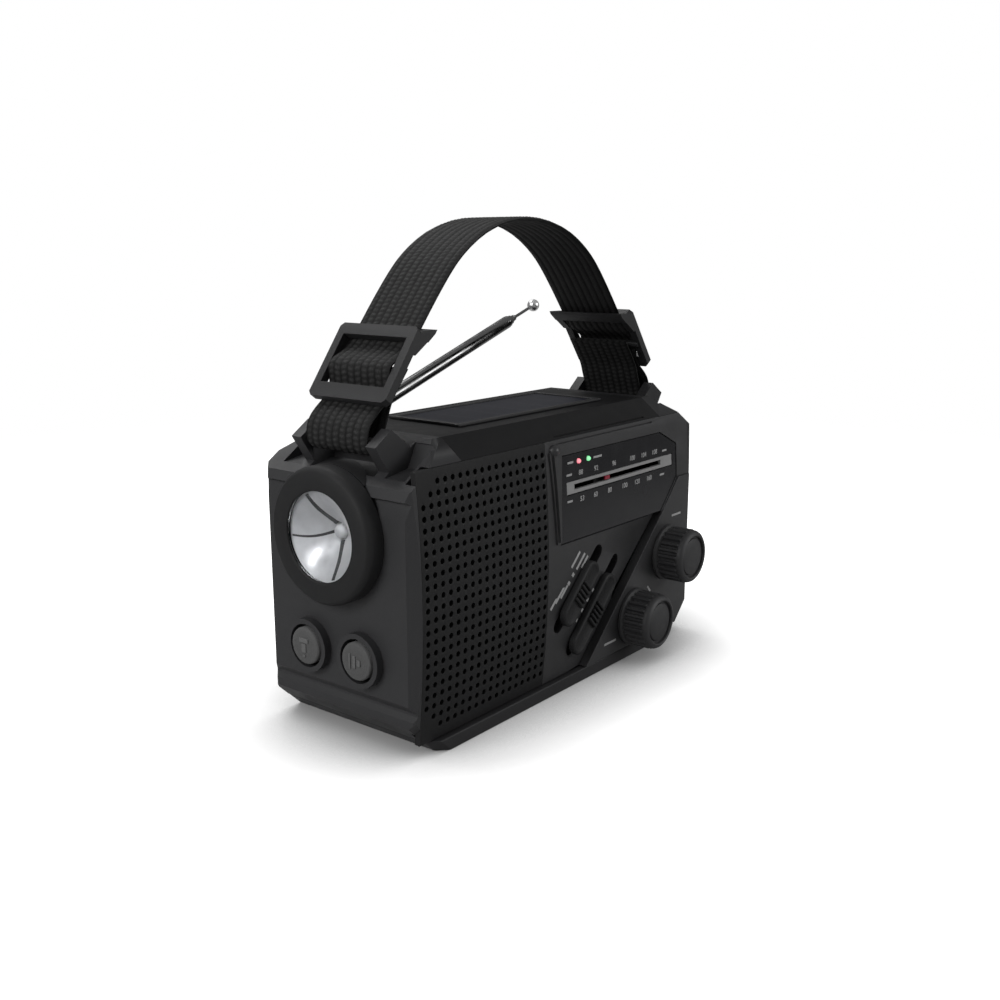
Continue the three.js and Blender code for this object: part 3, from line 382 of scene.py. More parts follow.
# The top cover takes the darker copy: painted shade on the top.
NODES["top_cover"].data.materials[0] = FINISH["top_plastic"]

# ---------------------------------------------------------------- speaker grille

HOLE_PITCH = 3.3
HOLE_RADIUS = 0.88
HOLE_COLUMNS = 18
HOLE_ROWS = 23
HOLE_START = (-72.93, 81.84)
GRILLE_THICK = 1.8
SIDE_STEPS = 4


def has_hole(column, row):
    """The pattern's outer corners are cut off at 45 degrees."""
    return column + row >= 2 and column + (HOLE_ROWS - 1 - row) >= 2


def square_edge(x0, x1, z0, z1):
    """Points round a rectangle, SIDE_STEPS to a side, from its lower left corner."""
    points = []
    for step in range(SIDE_STEPS):
        t = step / SIDE_STEPS
        points.append((x0 + (x1 - x0) * t, z0))
    for step in range(SIDE_STEPS):
        t = step / SIDE_STEPS
        points.append((x1, z0 + (z1 - z0) * t))
    for step in range(SIDE_STEPS):
        t = step / SIDE_STEPS
        points.append((x1 + (x0 - x1) * t, z1))
    for step in range(SIDE_STEPS):
        t = step / SIDE_STEPS
        points.append((x0, z1 + (z0 - z1) * t))
    return points


def grid_lines(first, last, start, count, pitch):
    inner = [start + pitch * (i - 0.5) for i in range(count + 1)]
    inner = [min(max(value, first + 0.1), last - 0.1) for value in inner]
    return [first, *inner, last]


def crown_through(low_z, high_z, x):
    """Depth of the bowed face as a parabola through three of its points."""
    mid_z = (low_z + high_z) / 2
    ys = [front_y(x, z) / MM for z in (low_z, mid_z, high_z)]
    half = (high_z - low_z) / 2
    bend = (ys[0] + ys[2] - 2 * ys[1]) / (2 * half * half)
    slope = (ys[2] - ys[0]) / (2 * half)
    return lambda z: ys[1] + slope * (z - mid_z) + bend * (z - mid_z) ** 2


def build_grille():
    low, high = (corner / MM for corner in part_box("speaker_grille"))
    depth = crown_through(low.z + 1, high.z - 1, -45)
    start_z = HOLE_START[1] - HOLE_PITCH * (HOLE_ROWS - 1)
    xs = grid_lines(low.x, high.x, HOLE_START[0], HOLE_COLUMNS, HOLE_PITCH)
    zs = grid_lines(low.z, high.z, start_z, HOLE_ROWS, HOLE_PITCH)
    verts, faces, known = [], [], {}

    def vertex(x, z):
        key = (round(x, 4), round(z, 4))
        if key not in known:
            known[key] = len(verts)
            verts.append(Vector((x, depth(z), z)) * MM)
        return known[key]

    for i, (x0, x1) in enumerate(zip(xs, xs[1:])):
        for j, (z0, z1) in enumerate(zip(zs, zs[1:])):
            rim = [vertex(x, z) for x, z in square_edge(x0, x1, z0, z1)]
            column, row = i - 1, HOLE_ROWS - j
            inside = 0 <= column < HOLE_COLUMNS and 0 <= row < HOLE_ROWS
            if not (inside and has_hole(column, row)):
                faces.append(rim)
                continue
            cx = HOLE_START[0] + HOLE_PITCH * column
            cz = HOLE_START[1] - HOLE_PITCH * row
            ring = []
            for step in range(4 * SIDE_STEPS):
                angle = math.radians(225) + 2 * math.pi * step / (4 * SIDE_STEPS)
                ring.append(vertex(cx + HOLE_RADIUS * math.cos(angle), cz + HOLE_RADIUS * math.sin(angle)))
            for step in range(len(rim)):
                after = (step + 1) % len(rim)
                faces.append([rim[step], rim[after], ring[after], ring[step]])
    grille = add_piece("grille_panel", verts, faces, "grille", "housing", ["speaker_grille"])
    if grille.data.polygons[0].normal.y > 0:
        grille.data.flip_normals()
    sheet = grille.modifiers.new("sheet", "SOLIDIFY")
    sheet.thickness = GRILLE_THICK * MM
    sheet.offset = -1
    soften(grille, 0.1, 1, 40)


# ---------------------------------------------------------------- knobs, buttons and torch

KNOB_HEIGHT = 11.6
KNOB_PROFILE = [
    (0, -8), (3, -8), (3, 0), (10.4, 0), (10.4, 0.9), (9.9, 1.4), (9.5, 1.7), (9.5, 2.0), (9.5, 5),
    (9.5, 8.4), (9.55, 8.8),
    (9.75, 9.3), (9.75, 10), (9.4, 10.8), (8.8, 11.3), (8.1, 11.55), (7.75, 11.3), (7.55, 10.4),
    (6.95, 10.35), (6.75, 10.8), (6.4, 11), (3, 11.3), (0, 11.35),
]
KNOB_RIBS = 25
RIBBED_RINGS = range(7, 11)
RIB_DEPTH = 1.0


def knob_rib(index, angle):
    if index not in RIBBED_RINGS:
        return 0
    wave = math.cos(KNOB_RIBS * angle)
    return RIB_DEPTH * max(-1, min(1, 2.2 * wave)) * 0.5


def build_knob(name, node, body):
    low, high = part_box(node)
    centre = Vector(((low.x + high.x) / 2, low.y + KNOB_HEIGHT * MM, (low.z + high.z) / 2))
    verts, faces = revolve(KNOB_PROFILE, centre, (0, -1, 0), 256, knob_rib)
    add_piece(name, verts, faces, "knob_rubber", body, [node], 30)


def add_box(name, low, high, finish, body, stands_for=()):
    verts = [(x, y, z) for x in (low.x, high.x) for y in (low.y, high.y) for z in (low.z, high.z)]
    faces = [(0, 1, 3, 2), (4, 6, 7, 5), (0, 4, 5, 1), (2, 3, 7, 6), (0, 2, 6, 4), (1, 5, 7, 3)]
    return add_piece(name, verts, faces, finish, body, stands_for)


TORCH_RADIUS = 20.6
BEZEL_PROFILE = [
    (14.1, 0.25), (TORCH_RADIUS, 0.25), (TORCH_RADIUS, 4.0), (20.45, 4.6), (20.0, 5.2), (19.5, 5.7),
    (19.0, 6.0),
    (14.2, 6.0), (13.8, 5.95), (13.5, 5.75), (13.4, 5.4), (14.1, 5.4),
]
LENS_SEAT = 4.3
LENS_PROFILE = [(0, 4.35), (13.75, 4.35), (13.75, 5.0), (10, 5.05), (0, 5.08)]
LED_DOME = [(0, -4.6), (2.3, -4.6), (2.3, -3.2), (1.9, -2.5), (1.1, -2.15), (0, -2.05)]
WEDGE_STEPS = 32
WEDGE_OUT, WEDGE_SUNK = 0.8, 0.25
SLOPE_FOOT = (-77.5, 80.2)
SLOPE_HEAD = (-59.6, 91.9)
# Angle and width of each painted shade strip on the reflector's folds.
CREASES = [(118, 1.3), (-74, 1.3), (187, 0.6)]


def build_bezel_wedge():
    """Carries the top of the bezel's wall back to the sloped shoulder."""
    centre_z = middle("torch_lens").z / MM
    foot_x, foot_z = SLOPE_FOOT
    rise = (SLOPE_HEAD[1] - foot_z) / (SLOPE_HEAD[0] - foot_x)
    half_turn = math.acos((foot_z - centre_z) / TORCH_RADIUS)
    steps = WEDGE_STEPS
    front, back = [], []
    for step in range(steps + 1):
        angle = half_turn * (2 * step / steps - 1)
        y, z = TORCH_RADIUS * math.sin(angle), centre_z + TORCH_RADIUS * math.cos(angle)
        front.append(Vector((foot_x - WEDGE_OUT, y, z)) * MM)
        back.append(Vector((foot_x + (z - foot_z) / rise - WEDGE_SUNK, y, z)) * MM)
    count = steps + 1
    faces = [list(range(count)), list(range(2 * count - 1, count - 1, -1))]
    for step in range(count):
        after = (step + 1) % count
        faces.append([step, after, count + after, count + step])
    add_piece("torch_bezel_wedge", front + back, faces, "soft_control", "housing", ["torch_bezel"], 50)


CONE_RIM_RADIUS, CONE_TAPER = 13.2, 10.7
CONE_RIM_HEIGHT, CONE_FALL, CONE_BEND = 3.9, 7.4, 1.1
CREASE_STEPS = 20
CREASE_BEND, CREASE_LIFT, CREASE_THICK = 0.9, 0.12, 0.2


def cone_depth(share):
    """Radius and height of the reflector's bright side, from its rim (0) to its throat (1)."""
    return CONE_RIM_RADIUS - CONE_TAPER * share, CONE_RIM_HEIGHT - CONE_FALL * share ** CONE_BEND


def build_crease_shade(name, centre, angle_deg, width):
    """A painted shade along a fold of the reflector: a thin dark strip laid over the metal from rim to throat."""
    steps = CREASE_STEPS
    radial = Vector((0, -math.cos(math.radians(angle_deg)), math.sin(math.radians(angle_deg))))
    across = Vector((0, radial.z, -radial.y))
    verts, faces = [], []
    for step in range(steps + 1):
        share = 0.01 + 0.98 * step / steps
        radius, height = cone_depth(share)
        bend = CREASE_BEND * math.sin(math.pi * share)
        spot = centre + (radial * radius + across * bend + Vector((-height - CREASE_LIFT, 0, 0))) * MM
        for side in (-1, 1):
            for lift in (0, CREASE_THICK):
                half = width * (0.45 + 0.3 * share)
                verts.append(spot + (across * side * half + Vector((lift, 0, 0))) * MM)
    for step in range(steps):
        a, b = 4 * step, 4 * step + 4
        faces += [[a, b, b + 2, a + 2], [a + 1, a + 3, b + 3, b + 1]]
        faces += [[a, a + 1, b + 1, b], [a + 2, b + 2, b + 3, a + 3]]
    last = 4 * steps
    faces += [[0, 2, 3, 1], [last, last + 1, last + 3, last + 2]]
    add_piece(name, verts, faces, "crease", "housing")


def build_torch():
    lens_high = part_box("torch_lens")[1]
    centre = Vector((lens_high.x + LENS_SEAT * MM, 0, middle("torch_lens").z))
    towards = (-1, 0, 0)
    verts, faces = revolve(BEZEL_PROFILE, centre, towards, 128)
    add_piece("torch_bezel_ring", verts, faces, "soft_control", "housing", ["torch_bezel"], 50)
    build_bezel_wedge()
    verts, faces = revolve(LENS_PROFILE, centre, towards, 96)
    add_piece("torch_lens_disc", verts, faces, "lens", "housing", ["torch_lens"], 50)
    profile = [(13.75, 4.0)] + [cone_depth(step / 12) for step in range(1, 12)]
    profile += [(2.5, -3.7), (2.5, -9.3), (3.3, -9.3), (3.3, -4.6)]
    for step in range(11, 0, -1):
        radius, height = cone_depth(step / 12)
        profile.append((radius + 0.45, height - 0.6))
    profile.append((13.75, 3.3))
    verts, faces = revolve(profile, centre, towards, 144)
    add_piece("torch_reflector_cone", verts, faces, "reflector", "housing", ["torch_reflector"], 50)
    verts, faces = revolve(LED_DOME, centre, towards, 32)
    add_piece("torch_led_dome", verts, faces, "reflector", "housing")
    for number, (angle, width) in enumerate(CREASES):
        build_crease_shade(f"torch_crease_shade_{number}", centre, angle, width)


STEM_LENGTH = 7.9
ICON_RISE = 3.45
BUTTON_PROFILE = [
    (0, -7.9), (2, -7.9), (2, -0.5), (5.8, -0.5), (5.8, 2.5), (5.6, 2.9), (5.1, 3.15), (3, 3.25), (0, 3.3),
]


def build_button(name, node, body, icon):
    low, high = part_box(node)
    centre = Vector((high.x - STEM_LENGTH * MM, (low.y + high.y) / 2, (low.z + high.z) / 2))
    verts, faces = revolve(BUTTON_PROFILE, centre, (-1, 0, 0), 72)
    add_piece(name, verts, faces, "button_rubber", body, [node], 40)
    front = centre.x - ICON_RISE * MM
    for number, (y, z, half_y, half_z) in enumerate(icon):
        spot = Vector((front, centre.y + y * MM, centre.z + z * MM))
        size = Vector((0.18, half_y, half_z)) * MM
        back = spot + size + Vector((0.3, 0, 0)) * MM
        piece = add_box(f"{name}_icon_{number}", spot - size, back, "button_rubber", body)
        soften(piece, 0.15)


LAMP_ICON = [(0, 1.8, 1.9, 0.7), (0, -0.6, 0.9, 1.4), (0, -3.0, 0.5, 0.4)]
HORN_ICON = [(-1.6, 0, 0.7, 1.0), (0.2, 0, 0.6, 1.9), (2.0, 0, 0.3, 2.4)]

# ---------------------------------------------------------------- slide switches and pointer

CAP_HALF_WIDTH = 4.0
STEM_HALF = (8.0, 2.0)
RIB_COUNT = 5
RIB_PITCH, RIB_RISE, RIB_HALF, RIB_REACH = 1.7, 0.7, 0.4, 2.9
CAP_LAYERS = [(0.0, 0.0), (0.0, 1.5), (0.25, 1.85), (0.7, 2.05), (1.1, 2.1), (1.4, 1.95), (1.7, 1.75)]


def oblong(half_straight, radius, steps=16):
    """Points round a straight-sided oval lying along the first axis."""
    points = []
    for end in (1, -1):
        for step in range(steps + 1):
            angle = math.pi * (step / steps - 0.5)
            points.append((end * (half_straight + radius * math.cos(angle)), end * radius * math.sin(angle)))
    return points


def build_slider(name, node, body, joint, cap_length, cap_thick):
    low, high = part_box(node)
    along = Vector(JOINTS[joint]["axis"])
    across = Vector((-along.z, 0, along.x))
    base = Vector(((low.x + high.x) / 2, low.y + (RIB_RISE + cap_thick) * MM, (low.z + high.z) / 2))

    def spot(a, b, rise):
        return base + (along * a + across * b) * MM + Vector((0, -rise * MM, 0))

    half_straight = cap_length / 2 - CAP_HALF_WIDTH
    verts, faces = [], []
    for inset, rise in CAP_LAYERS:
        for a, b in oblong(half_straight, CAP_HALF_WIDTH - inset):
            verts.append(spot(a, b, rise))
    ring = len(verts) // len(CAP_LAYERS)
    for layer in range(len(CAP_LAYERS) - 1):
        for step in range(ring):
            after = (step + 1) % ring
            here = layer * ring
            faces.append([here + step, here + after, here + ring + after, here + ring + step])
    faces.append(list(range(ring)))
    faces.append(list(range(ring * (len(CAP_LAYERS) - 1), ring * len(CAP_LAYERS))))
    add_piece(name, verts, faces, "soft_control", body, [node], 40)
    long_half, short_half = STEM_HALF
    stem = [spot(a, b, rise) for rise in (0, (base.y - high.y) / MM)
            for a, b in ((-long_half, -short_half), (long_half, -short_half),
                         (long_half, short_half), (-long_half, short_half))]
    sides = [(0, 1, 5, 4), (1, 2, 6, 5), (2, 3, 7, 6), (3, 0, 4, 7), (0, 3, 2, 1), (4, 5, 6, 7)]
    # The stem below the cap is painted near-black as shade in the slot.
    add_piece(name + "_stem", stem, sides, "cavity", body, [node])
    for number in range(RIB_COUNT):
        a = (number - RIB_COUNT // 2) * RIB_PITCH
        corners = [spot(a + da, b, rise) for rise in (1.5, cap_thick + RIB_RISE)
                   for da, b in ((-RIB_HALF, -RIB_REACH), (RIB_HALF, -RIB_REACH),
                                (RIB_HALF, RIB_REACH), (-RIB_HALF, RIB_REACH))]
        rib = add_piece(f"{name}_rib_{number}", corners, sides, "soft_control", body)
        soften(rib, 0.3)


def build_pointer():
    low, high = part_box("dial_pointer")
    centre = (low + high) / 2
    stroke = Vector((1.4, 0, 0.5)) * MM
    face_y = low.y
    add_box("pointer_stroke", Vector((centre.x, face_y, centre.z - 0.1 * MM)) - stroke,
            Vector((centre.x, face_y + 0.6 * MM, centre.z + 0.1 * MM)) + stroke,
            "pointer", "pointer_carriage", ["dial_pointer"])
    # The carrier and neck behind the pointer are painted near-black as shade.
    add_box("pointer_carrier", Vector((low.x, face_y + 2.4 * MM, low.z)), high,
            "cavity", "pointer_carriage", ["dial_pointer"])
    add_box("pointer_neck", Vector((centre.x - 1.2 * MM, face_y + 0.6 * MM, centre.z - 0.5 * MM)),
            Vector((centre.x + 1.2 * MM, face_y + 2.4 * MM, centre.z + 0.5 * MM)),
            "cavity", "pointer_carriage", ["dial_pointer"])


# ---------------------------------------------------------------- antenna

TUBES = {
    "antenna_tube_2": (1.85, 1.62, 7, 95.8, 1.3),
    "antenna_tube_3": (1.4, 1.12, 8, 97.3, 1.3),
}


BALL_RADIUS, BALL_AT, BALL_STEPS = 2.3, 110.9, 16


def antenna_line():
    fold = JOINTS["antenna_fold"]["pos_m"]
    return Vector(fold), Vector(JOINTS["antenna_extend_1"]["axis"])


def build_antenna():
    root, along = antenna_line()
    bodies = {"antenna_tube_2": "antenna_section_2", "antenna_tube_3": "antenna_section_3"}
    for node, body in bodies.items():
        outer, inner, start, end, taper = TUBES[node]
        profile = [
            (inner, start), (outer, start), (outer, end - taper), (outer - 0.1, end - 0.8 * taper),
            (inner + 0.06, end), (inner, end),
        ]
        verts, faces = revolve(profile, root, along, 56)
        add_piece(node + "_sleeve", verts, faces, "antenna_chrome", body, [node], 40)
    rod = [(0, 9), (0.85, 9), (0.85, 97.4), (1.1, 97.6), (1.1, 98), (0.55, 99), (0.55, 109.2), (0, 109.2)]
    verts, faces = revolve(rod, root, along, 32)
    add_piece("antenna_tip_rod", verts, faces, "antenna_chrome", "antenna_section_4", ["antenna_tip"], 40)
    tip = [(0, 108.6)]
    for step in range(1, BALL_STEPS):
        turn = math.pi * step / BALL_STEPS
        tip.append((BALL_RADIUS * math.sin(turn), BALL_AT - BALL_RADIUS * math.cos(turn)))
    tip.append((0, BALL_AT + BALL_RADIUS))
    verts, faces = revolve(tip, root, along, 56)
    add_piece("antenna_tip_ball", verts, faces, "ball_chrome", "antenna_section_4", ["antenna_tip"], 60)


# ---------------------------------------------------------------- webbing

YARN_COLUMNS = 9
POINTS_PER_YARN = 8
YARN_HEIGHT = 0.36
WEAVE_PITCH = 1.7
STRAP_STEP = 0.42
STRAP_HALF_THICK = 0.5
STRAP_INSET = 0.65
SMOOTHING_ROUNDS = 6
YARN_LEAN = 0.25


def strap_outline():
    """The strap's side outline as an ordered loop of (x, z), in millimetres."""
    work = bmesh.new()
    work.from_mesh(NODES["strap_webbing"].data)
    bmesh.ops.remove_doubles(work, verts=work.verts, dist=0.002 * MM)
    side = min(v.co.y for v in work.verts)
    near = {}
    for edge in work.edges:
        if len(edge.link_faces) != 2 or any(v.co.y > side + 0.1 * MM for v in edge.verts):
            continue
        flat = [abs(face.normal.y) > 0.9 for face in edge.link_faces]
        if flat[0] != flat[1]:
            for a, b in (edge.verts, reversed(edge.verts)):
                near.setdefault(a.index, (a.co.copy(), []))[1].append(b.index)
    loop = [min(near)]
    before = None
    while True:
        options = [n for n in near[loop[-1]][1] if n != before]
        before = loop[-1]
        if options[0] == loop[0]:
            break
        loop.append(options[0])
    points = [Vector((near[i][0].x, near[i][0].z)) / MM for i in loop]
    work.free()
    return points


def strap_chains(points):
    """Splits the outline at its square ends and returns one long side."""
    count = len(points)
    sharp = []
    for i, here in enumerate(points):
        a = here - points[i - 1]
        b = points[(i + 1) % count] - here
        sharp.append((a.angle(b), i))
    ends = sorted(i for _, i in sorted(sharp)[-4:])
    runs = []
    for k, first in enumerate(ends):
        last = ends[(k + 1) % 4]
        run = [points[(first + s) % count] for s in range((last - first) % count + 1)]
        runs.append(run)
    longest = sorted(runs, key=len)[-2:]
    return max(longest, key=lambda run: sum(p.y for p in run) / len(run))


def even_steps(points, step):
    out, carry = [points[0]], 0.0
    for a, b in zip(points, points[1:]):
        length = (b - a).length
        reach = step - carry
        while reach <= length:
            out.append(a + (b - a) * (reach / length))
            reach += step
        carry = length - (reach - step)
    return out


def smoothed(points, rounds):
    for _ in range(rounds):
        middle_run = [(a + 2 * b + c) / 4 for a, b, c in zip(points, points[1:], points[2:])]
        points = [points[0], *middle_run, points[-1]]
    return points


def build_strap():
    low, high = (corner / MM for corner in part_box("strap_webbing"))
    edge = smoothed(even_steps(strap_chains(strap_outline()), STRAP_STEP), SMOOTHING_ROUNDS)
    tangents = [(b - a).normalized() for a, b in zip(edge, edge[1:])]
    tangents.append(tangents[-1])
    centroid = sum(edge, Vector((0, 0))) / len(edge)
    normals = [Vector((-t.y, t.x)) for t in tangents]
    top = max(range(len(edge)), key=lambda i: edge[i].y)
    sign = 1 if (edge[top] - centroid).dot(normals[top]) > 0 else -1
    half_width = (high.y - low.y) / 2
    across = YARN_COLUMNS * POINTS_PER_YARN
    verts, faces, proud = [], [], []
    for i, spot in enumerate(edge):
        out = normals[i] * sign
        line = spot - out * STRAP_INSET
        for side in (1, -1):
            for j in range(across + 1):
                u = j / across
                column = u * YARN_COLUMNS
                rib = abs(math.sin(math.pi * column))
                lean = YARN_LEAN if int(min(column, YARN_COLUMNS - 0.001)) % 2 else -YARN_LEAN
                beat = math.cos(2 * math.pi * (i * STRAP_STEP / WEAVE_PITCH + lean + (column % 1) * lean))
                weave = rib * (0.65 + 0.35 * beat) if side > 0 else rib * 0.8
                edge_fall = min(1.0, 14 * min(u, 1 - u))
                h = side * (STRAP_HALF_THICK * (0.45 + 0.55 * edge_fall) + YARN_HEIGHT * weave * edge_fall)
                proud.append(weave * edge_fall)
                place = line + out * h
                y = -half_width + 2 * half_width * u
                verts.append(Vector((place.x, y, place.y)) * MM)
    ring = 2 * (across + 1)

    def at(i, side, j):
        return i * ring + (0 if side > 0 else across + 1) + j

    for i in range(len(edge) - 1):
        for j in range(across):
            faces.append([at(i, 1, j), at(i, 1, j + 1), at(i + 1, 1, j + 1), at(i + 1, 1, j)])
            faces.append([at(i, -1, j), at(i + 1, -1, j), at(i + 1, -1, j + 1), at(i, -1, j + 1)])
        faces.append([at(i, 1, 0), at(i + 1, 1, 0), at(i + 1, -1, 0), at(i, -1, 0)])
        faces.append([at(i, 1, across), at(i, -1, across), at(i + 1, -1, across), at(i + 1, 1, across)])
    for i in (0, len(edge) - 1):
        for j in range(across):
            faces.append([at(i, 1, j), at(i, -1, j), at(i, -1, j + 1), at(i, 1, j + 1)])
    webbing = add_piece("handle_webbing", verts, faces, "webbing", "housing", ["strap_webbing"], 60)
    # The stored yarn height drives the webbing's painted shade between yarns and painted highlight on them.
    webbing.data.attributes.new(YARN_MARK, "FLOAT", "POINT").data.foreach_set("value", proud)


# ---------------------------------------------------------------- print on the front


INK_THICK, INK_SPREAD = 0.03, 0.03
DIGIT_HEIGHT = 1.8
SWITCH_ANGLE = 43.2


def add_text(name, words, x, z, height, finish="print"):
    curve = bpy.data.curves.new(name, "FONT")
    curve.body = words
    curve.align_x = "CENTER"
    curve.align_y = "CENTER"
    curve.size = height * 1.35 * MM
    curve.extrude = INK_THICK * MM
    curve.offset = INK_SPREAD * MM
    label = bpy.data.objects.new(name, curve)
    bpy.context.scene.collection.objects.link(label)
    label.rotation_euler = (math.radians(90), 0, 0)
    label.location = (x * MM, front_y(x, z) - 0.02 * MM, z * MM)
    bpy.context.view_layer.update()
    mesh = bpy.data.meshes.new_from_object(label)
    mesh.transform(label.matrix_world)
    bpy.data.objects.remove(label)
    piece = bpy.data.objects.new(name, mesh)
    bpy.context.scene.collection.objects.link(piece)
    mesh.materials.clear()
    mesh.materials.append(FINISH[finish])
    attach(piece, "housing")


def add_mark(name, x, z, length, width, angle_deg):
    """A printed stroke on the front face."""
    turn = Matrix.Rotation(-math.radians(angle_deg), 3, "Y")
    y = front_y(x, z)
    verts = []
    for a in (-length / 2, length / 2):
        for b in (-width / 2, width / 2):
            for depth in (-0.04, 0.05):
                spot = Vector((x, 0, z)) + turn @ Vector((a, 0, b))
                verts.append(spot * MM + Vector((0, y + depth * MM, 0)))
    faces = [(0, 1, 3, 2), (4, 6, 7, 5), (0, 4, 5, 1), (2, 3, 7, 6), (0, 2, 6, 4), (1, 5, 7, 3)]
    add_piece(name, verts, faces, "print", "housing")


UPPER_SCALE = [("88", 4.1), ("92", 13.2), ("96", 24.3), ("100", 36.0), ("104", 43.7), ("108", 51.2)]
LOWER_SCALE = [("53", 4.4), ("60", 12.4), ("80", 21.1), ("100", 30.6), ("120", 38.8), ("160", 47.0)]
SCALE_ENDS = [(-2.6, 73.3), (58.2, 72.9), (-2.7, 64.6), (56.1, 64.4)]
SLANTED = [
    (0.1, 44.5, 6.6), (3.0, 43.3, 6.6), (5.4, 42.6, 5.0),
    (-11.3, 32.7, 6.5), (-8.6, 34.3, 6.5), (-6.2, 34.9, 5.2),
]
DOTS = [(-1.3, 39.6), (-3.6, 37.2), (12.2, 30.9), (8.9, 28.3), (5.6, 25.4), (2.3, 22.8)]


def build_print():
    for text, x in UPPER_SCALE:
        add_text("upper_" + text, text, x, 73.2, DIGIT_HEIGHT)
    for text, x in LOWER_SCALE:
        add_text("lower_" + text, text, x, 64.4, DIGIT_HEIGHT)
    for number, (x, z) in enumerate(SCALE_ENDS):
        add_mark(f"scale_end_{number}", x, z, 3.0, 0.7, 0)
    add_mark("lamp_label_1", -1.6, 77.2, 3.2, 0.7, 0)
    add_mark("lamp_label_2", 14.4, 77.0, 5.0, 0.7, 0)
    add_mark("tuning_label", 66, 47.7, 6.5, 0.8, 0)
    add_mark("volume_label", 22, 9.4, 7.5, 0.8, 0)
    add_mark("volume_tick", 47.6, 22.9, 3.2, 0.8, -48)
    for number, (x, z, length) in enumerate(SLANTED):
        add_mark(f"switch_label_{number}", x, z, length, 0.95, SWITCH_ANGLE)
    for number, (x, z) in enumerate(DOTS):
        add_mark(f"switch_dot_{number}", x, z, 1.3, 1.3, SWITCH_ANGLE)


# ---------------------------------------------------------------- stage

CAMERA_AT = Vector((-0.2947, -0.2325, 0.1453))
CAMERA_FORWARD = Vector((0.7654, 0.6045, -0.2208))
LENS_MM = 40.15


def build_camera():
    data = bpy.data.cameras.new("camera")
    data.lens = LENS_MM
    data.sensor_width = 36
    data.clip_start = 0.01
    camera = bpy.data.objects.new("camera", data)
    camera.location = CAMERA_AT
    camera.rotation_euler = CAMERA_FORWARD.to_track_quat("-Z", "Y").to_euler()
    bpy.context.scene.collection.objects.link(camera)
    bpy.context.scene.camera = camera


def add_light(name, at, target, size, power):
    data = bpy.data.lights.new(name, "AREA")
    data.shape = "RECTANGLE"
    data.size, data.size_y = size
    data.energy = power
    light = bpy.data.objects.new(name, data)
    light.location = at
    light.rotation_euler = (Vector(target) - Vector(at)).to_track_quat("-Z", "Y").to_euler()
    bpy.context.scene.collection.objects.link(light)


FLOOR_HALF = 4.0
FLOOR_LIFT = 1.2
FLOOR_ALBEDO = 0.5
SHADE_REACH = 0.055
SHADE_DEPTH = 2.4
FADE_FROM = 0.35
FADE_TO = 0.62
SKY_LOW = 0.14
SKY_HIGH = 0.34
LIGHTS = [
    ("key", (-1.1, 0.1, 0.6), (-0.05, 0, 0.05), (0.7, 0.6), 8),
    ("front", (0.6, -1.1, 0.5), (0, 0, 0.05), (0.8, 0.5), 6),
    ("back", (0.15, 0.8, 1.1), (0, 0, 0.05), (0.8, 0.6), 6),
]


def to_camera(paper, strength):
    """Adds light that only the camera sees, so the sheet reads white, dimmed by ambient occlusion near the object
    into a painted contact shadow.
    """
    rays = paper.node("ShaderNodeLightPath")
    lift = paper.node("ShaderNodeMath", operation="MULTIPLY")
    paper.link(rays.outputs["Is Camera Ray"], lift.inputs[0])
    lift.inputs[1].default_value = strength
    # Ambient occlusion dims the camera-only light close to the object: a painted contact shadow on the floor.
    contact_shadow_ao = paper.node("ShaderNodeAmbientOcclusion", samples=8)
    contact_shadow_ao.inputs["Distance"].default_value = SHADE_REACH
    deepened = paper.node("ShaderNodeMath", operation="POWER")
    paper.link(contact_shadow_ao.outputs["AO"], deepened.inputs[0])
    deepened.inputs[1].default_value = SHADE_DEPTH
    shaded = paper.node("ShaderNodeMath", operation="MULTIPLY")
    paper.link(lift.outputs[0], shaded.inputs[0])
    paper.link(deepened.outputs[0], shaded.inputs[1])
    paper.set("Emission Color", (1, 1, 1, 1))
    paper.link(shaded.outputs[0], paper.shader.inputs["Emission Strength"])


def fade_out(paper):
    """Clears the sheet away from the object, so it ends without a horizon."""
    reach = paper.node("ShaderNodeVectorMath", operation="LENGTH")
    paper.link(paper.place, reach.inputs[0])
    clear = paper.node("ShaderNodeMapRange")
    clear.inputs["From Min"].default_value = FADE_FROM
    clear.inputs["From Max"].default_value = FADE_TO
    paper.link(reach.outputs["Value"], clear.inputs["Value"])
    blend = paper.node("ShaderNodeMixShader")
    paper.link(clear.outputs["Result"], blend.inputs["Fac"])
    paper.link(paper.shader.outputs["BSDF"], blend.inputs[1])
    paper.link(paper.node("ShaderNodeBsdfTransparent").outputs["BSDF"], blend.inputs[2])
    paper.link(blend.outputs["Shader"], paper.tree.nodes["Material Output"].inputs["Surface"])


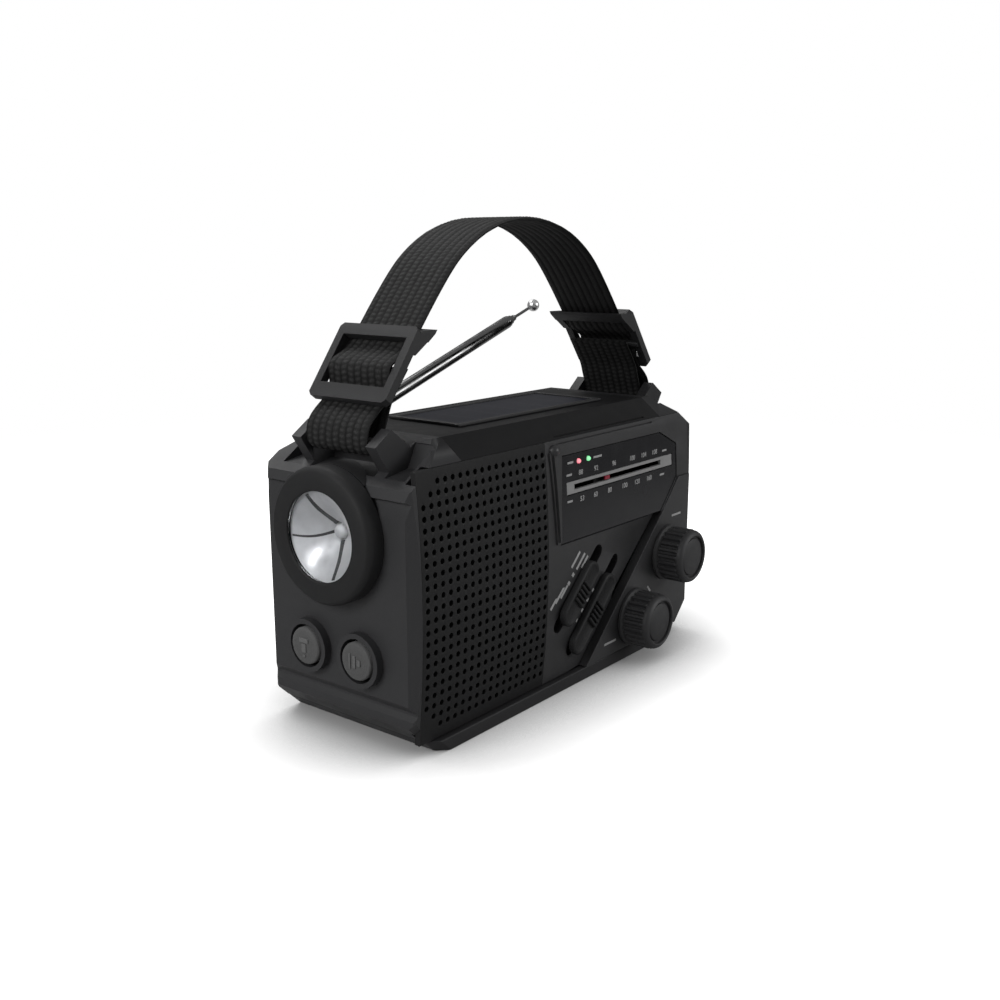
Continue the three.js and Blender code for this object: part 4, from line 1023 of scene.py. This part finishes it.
def build_world():
    """White behind the object, with a dim graded sky for light and reflections."""
    world = bpy.data.worlds.new("studio")
    world.use_nodes = True
    tree = world.node_tree
    back = tree.nodes["Background"]
    place = tree.nodes.new("ShaderNodeTexCoord")
    parts = tree.nodes.new("ShaderNodeSeparateXYZ")
    grade = tree.nodes.new("ShaderNodeMapRange")
    grade.inputs["To Min"].default_value = SKY_LOW
    grade.inputs["To Max"].default_value = SKY_HIGH
    rays = tree.nodes.new("ShaderNodeLightPath")
    brighter = tree.nodes.new("ShaderNodeMath")
    brighter.operation = "MAXIMUM"
    tree.links.new(place.outputs["Generated"], parts.inputs[0])
    tree.links.new(parts.outputs["Z"], grade.inputs["Value"])
    tree.links.new(rays.outputs["Is Camera Ray"], brighter.inputs[0])
    tree.links.new(grade.outputs["Result"], brighter.inputs[1])
    tree.links.new(brighter.outputs[0], back.inputs["Strength"])
    back.inputs["Color"].default_value = (1, 1, 1, 1)
    bpy.context.scene.world = world


def build_stage():
    size = FLOOR_HALF
    mesh = bpy.data.meshes.new("floor")
    corners = [(-size, -size, 0), (size, -size, 0), (size, size, 0), (-size, size, 0)]
    mesh.from_pydata(corners, [], [(0, 1, 2, 3)])
    floor = bpy.data.objects.new("floor", mesh)
    bpy.context.scene.collection.objects.link(floor)
    paper = Finish("floor_paper", grey(FLOOR_ALBEDO), 0.9)
    paper.set("Specular IOR Level", 0.0)
    paper.tint(paper.noise(40, 1), grey(0.96 * FLOOR_ALBEDO), grey(FLOOR_ALBEDO))
    to_camera(paper, FLOOR_LIFT)
    fade_out(paper)
    mesh.materials.append(paper.material)
    build_world()
    bpy.context.scene.view_settings.view_transform = "Standard"
    for name, at, target, span, power in LIGHTS:
        add_light(name, at, target, span, power)


build_grille()
build_knob("tuning_knob_cap", "tuning_knob", "tuning_control")
build_knob("volume_knob_cap", "volume_knob", "volume_control")
build_torch()
build_button("torch_button_cap", "torch_button", "torch_switch", LAMP_ICON)
build_button("alarm_button_cap", "alarm_button", "alarm_switch", HORN_ICON)
build_slider("band_cap", "band_slider", "band_switch", "band_slide", 25, 2.1)
build_slider("function_cap", "function_slider", "function_switch", "function_slide", 32, 2.4)
build_pointer()
build_antenna()
build_strap()
build_print()
build_camera()
build_stage()

bpy.context.view_layer.update()
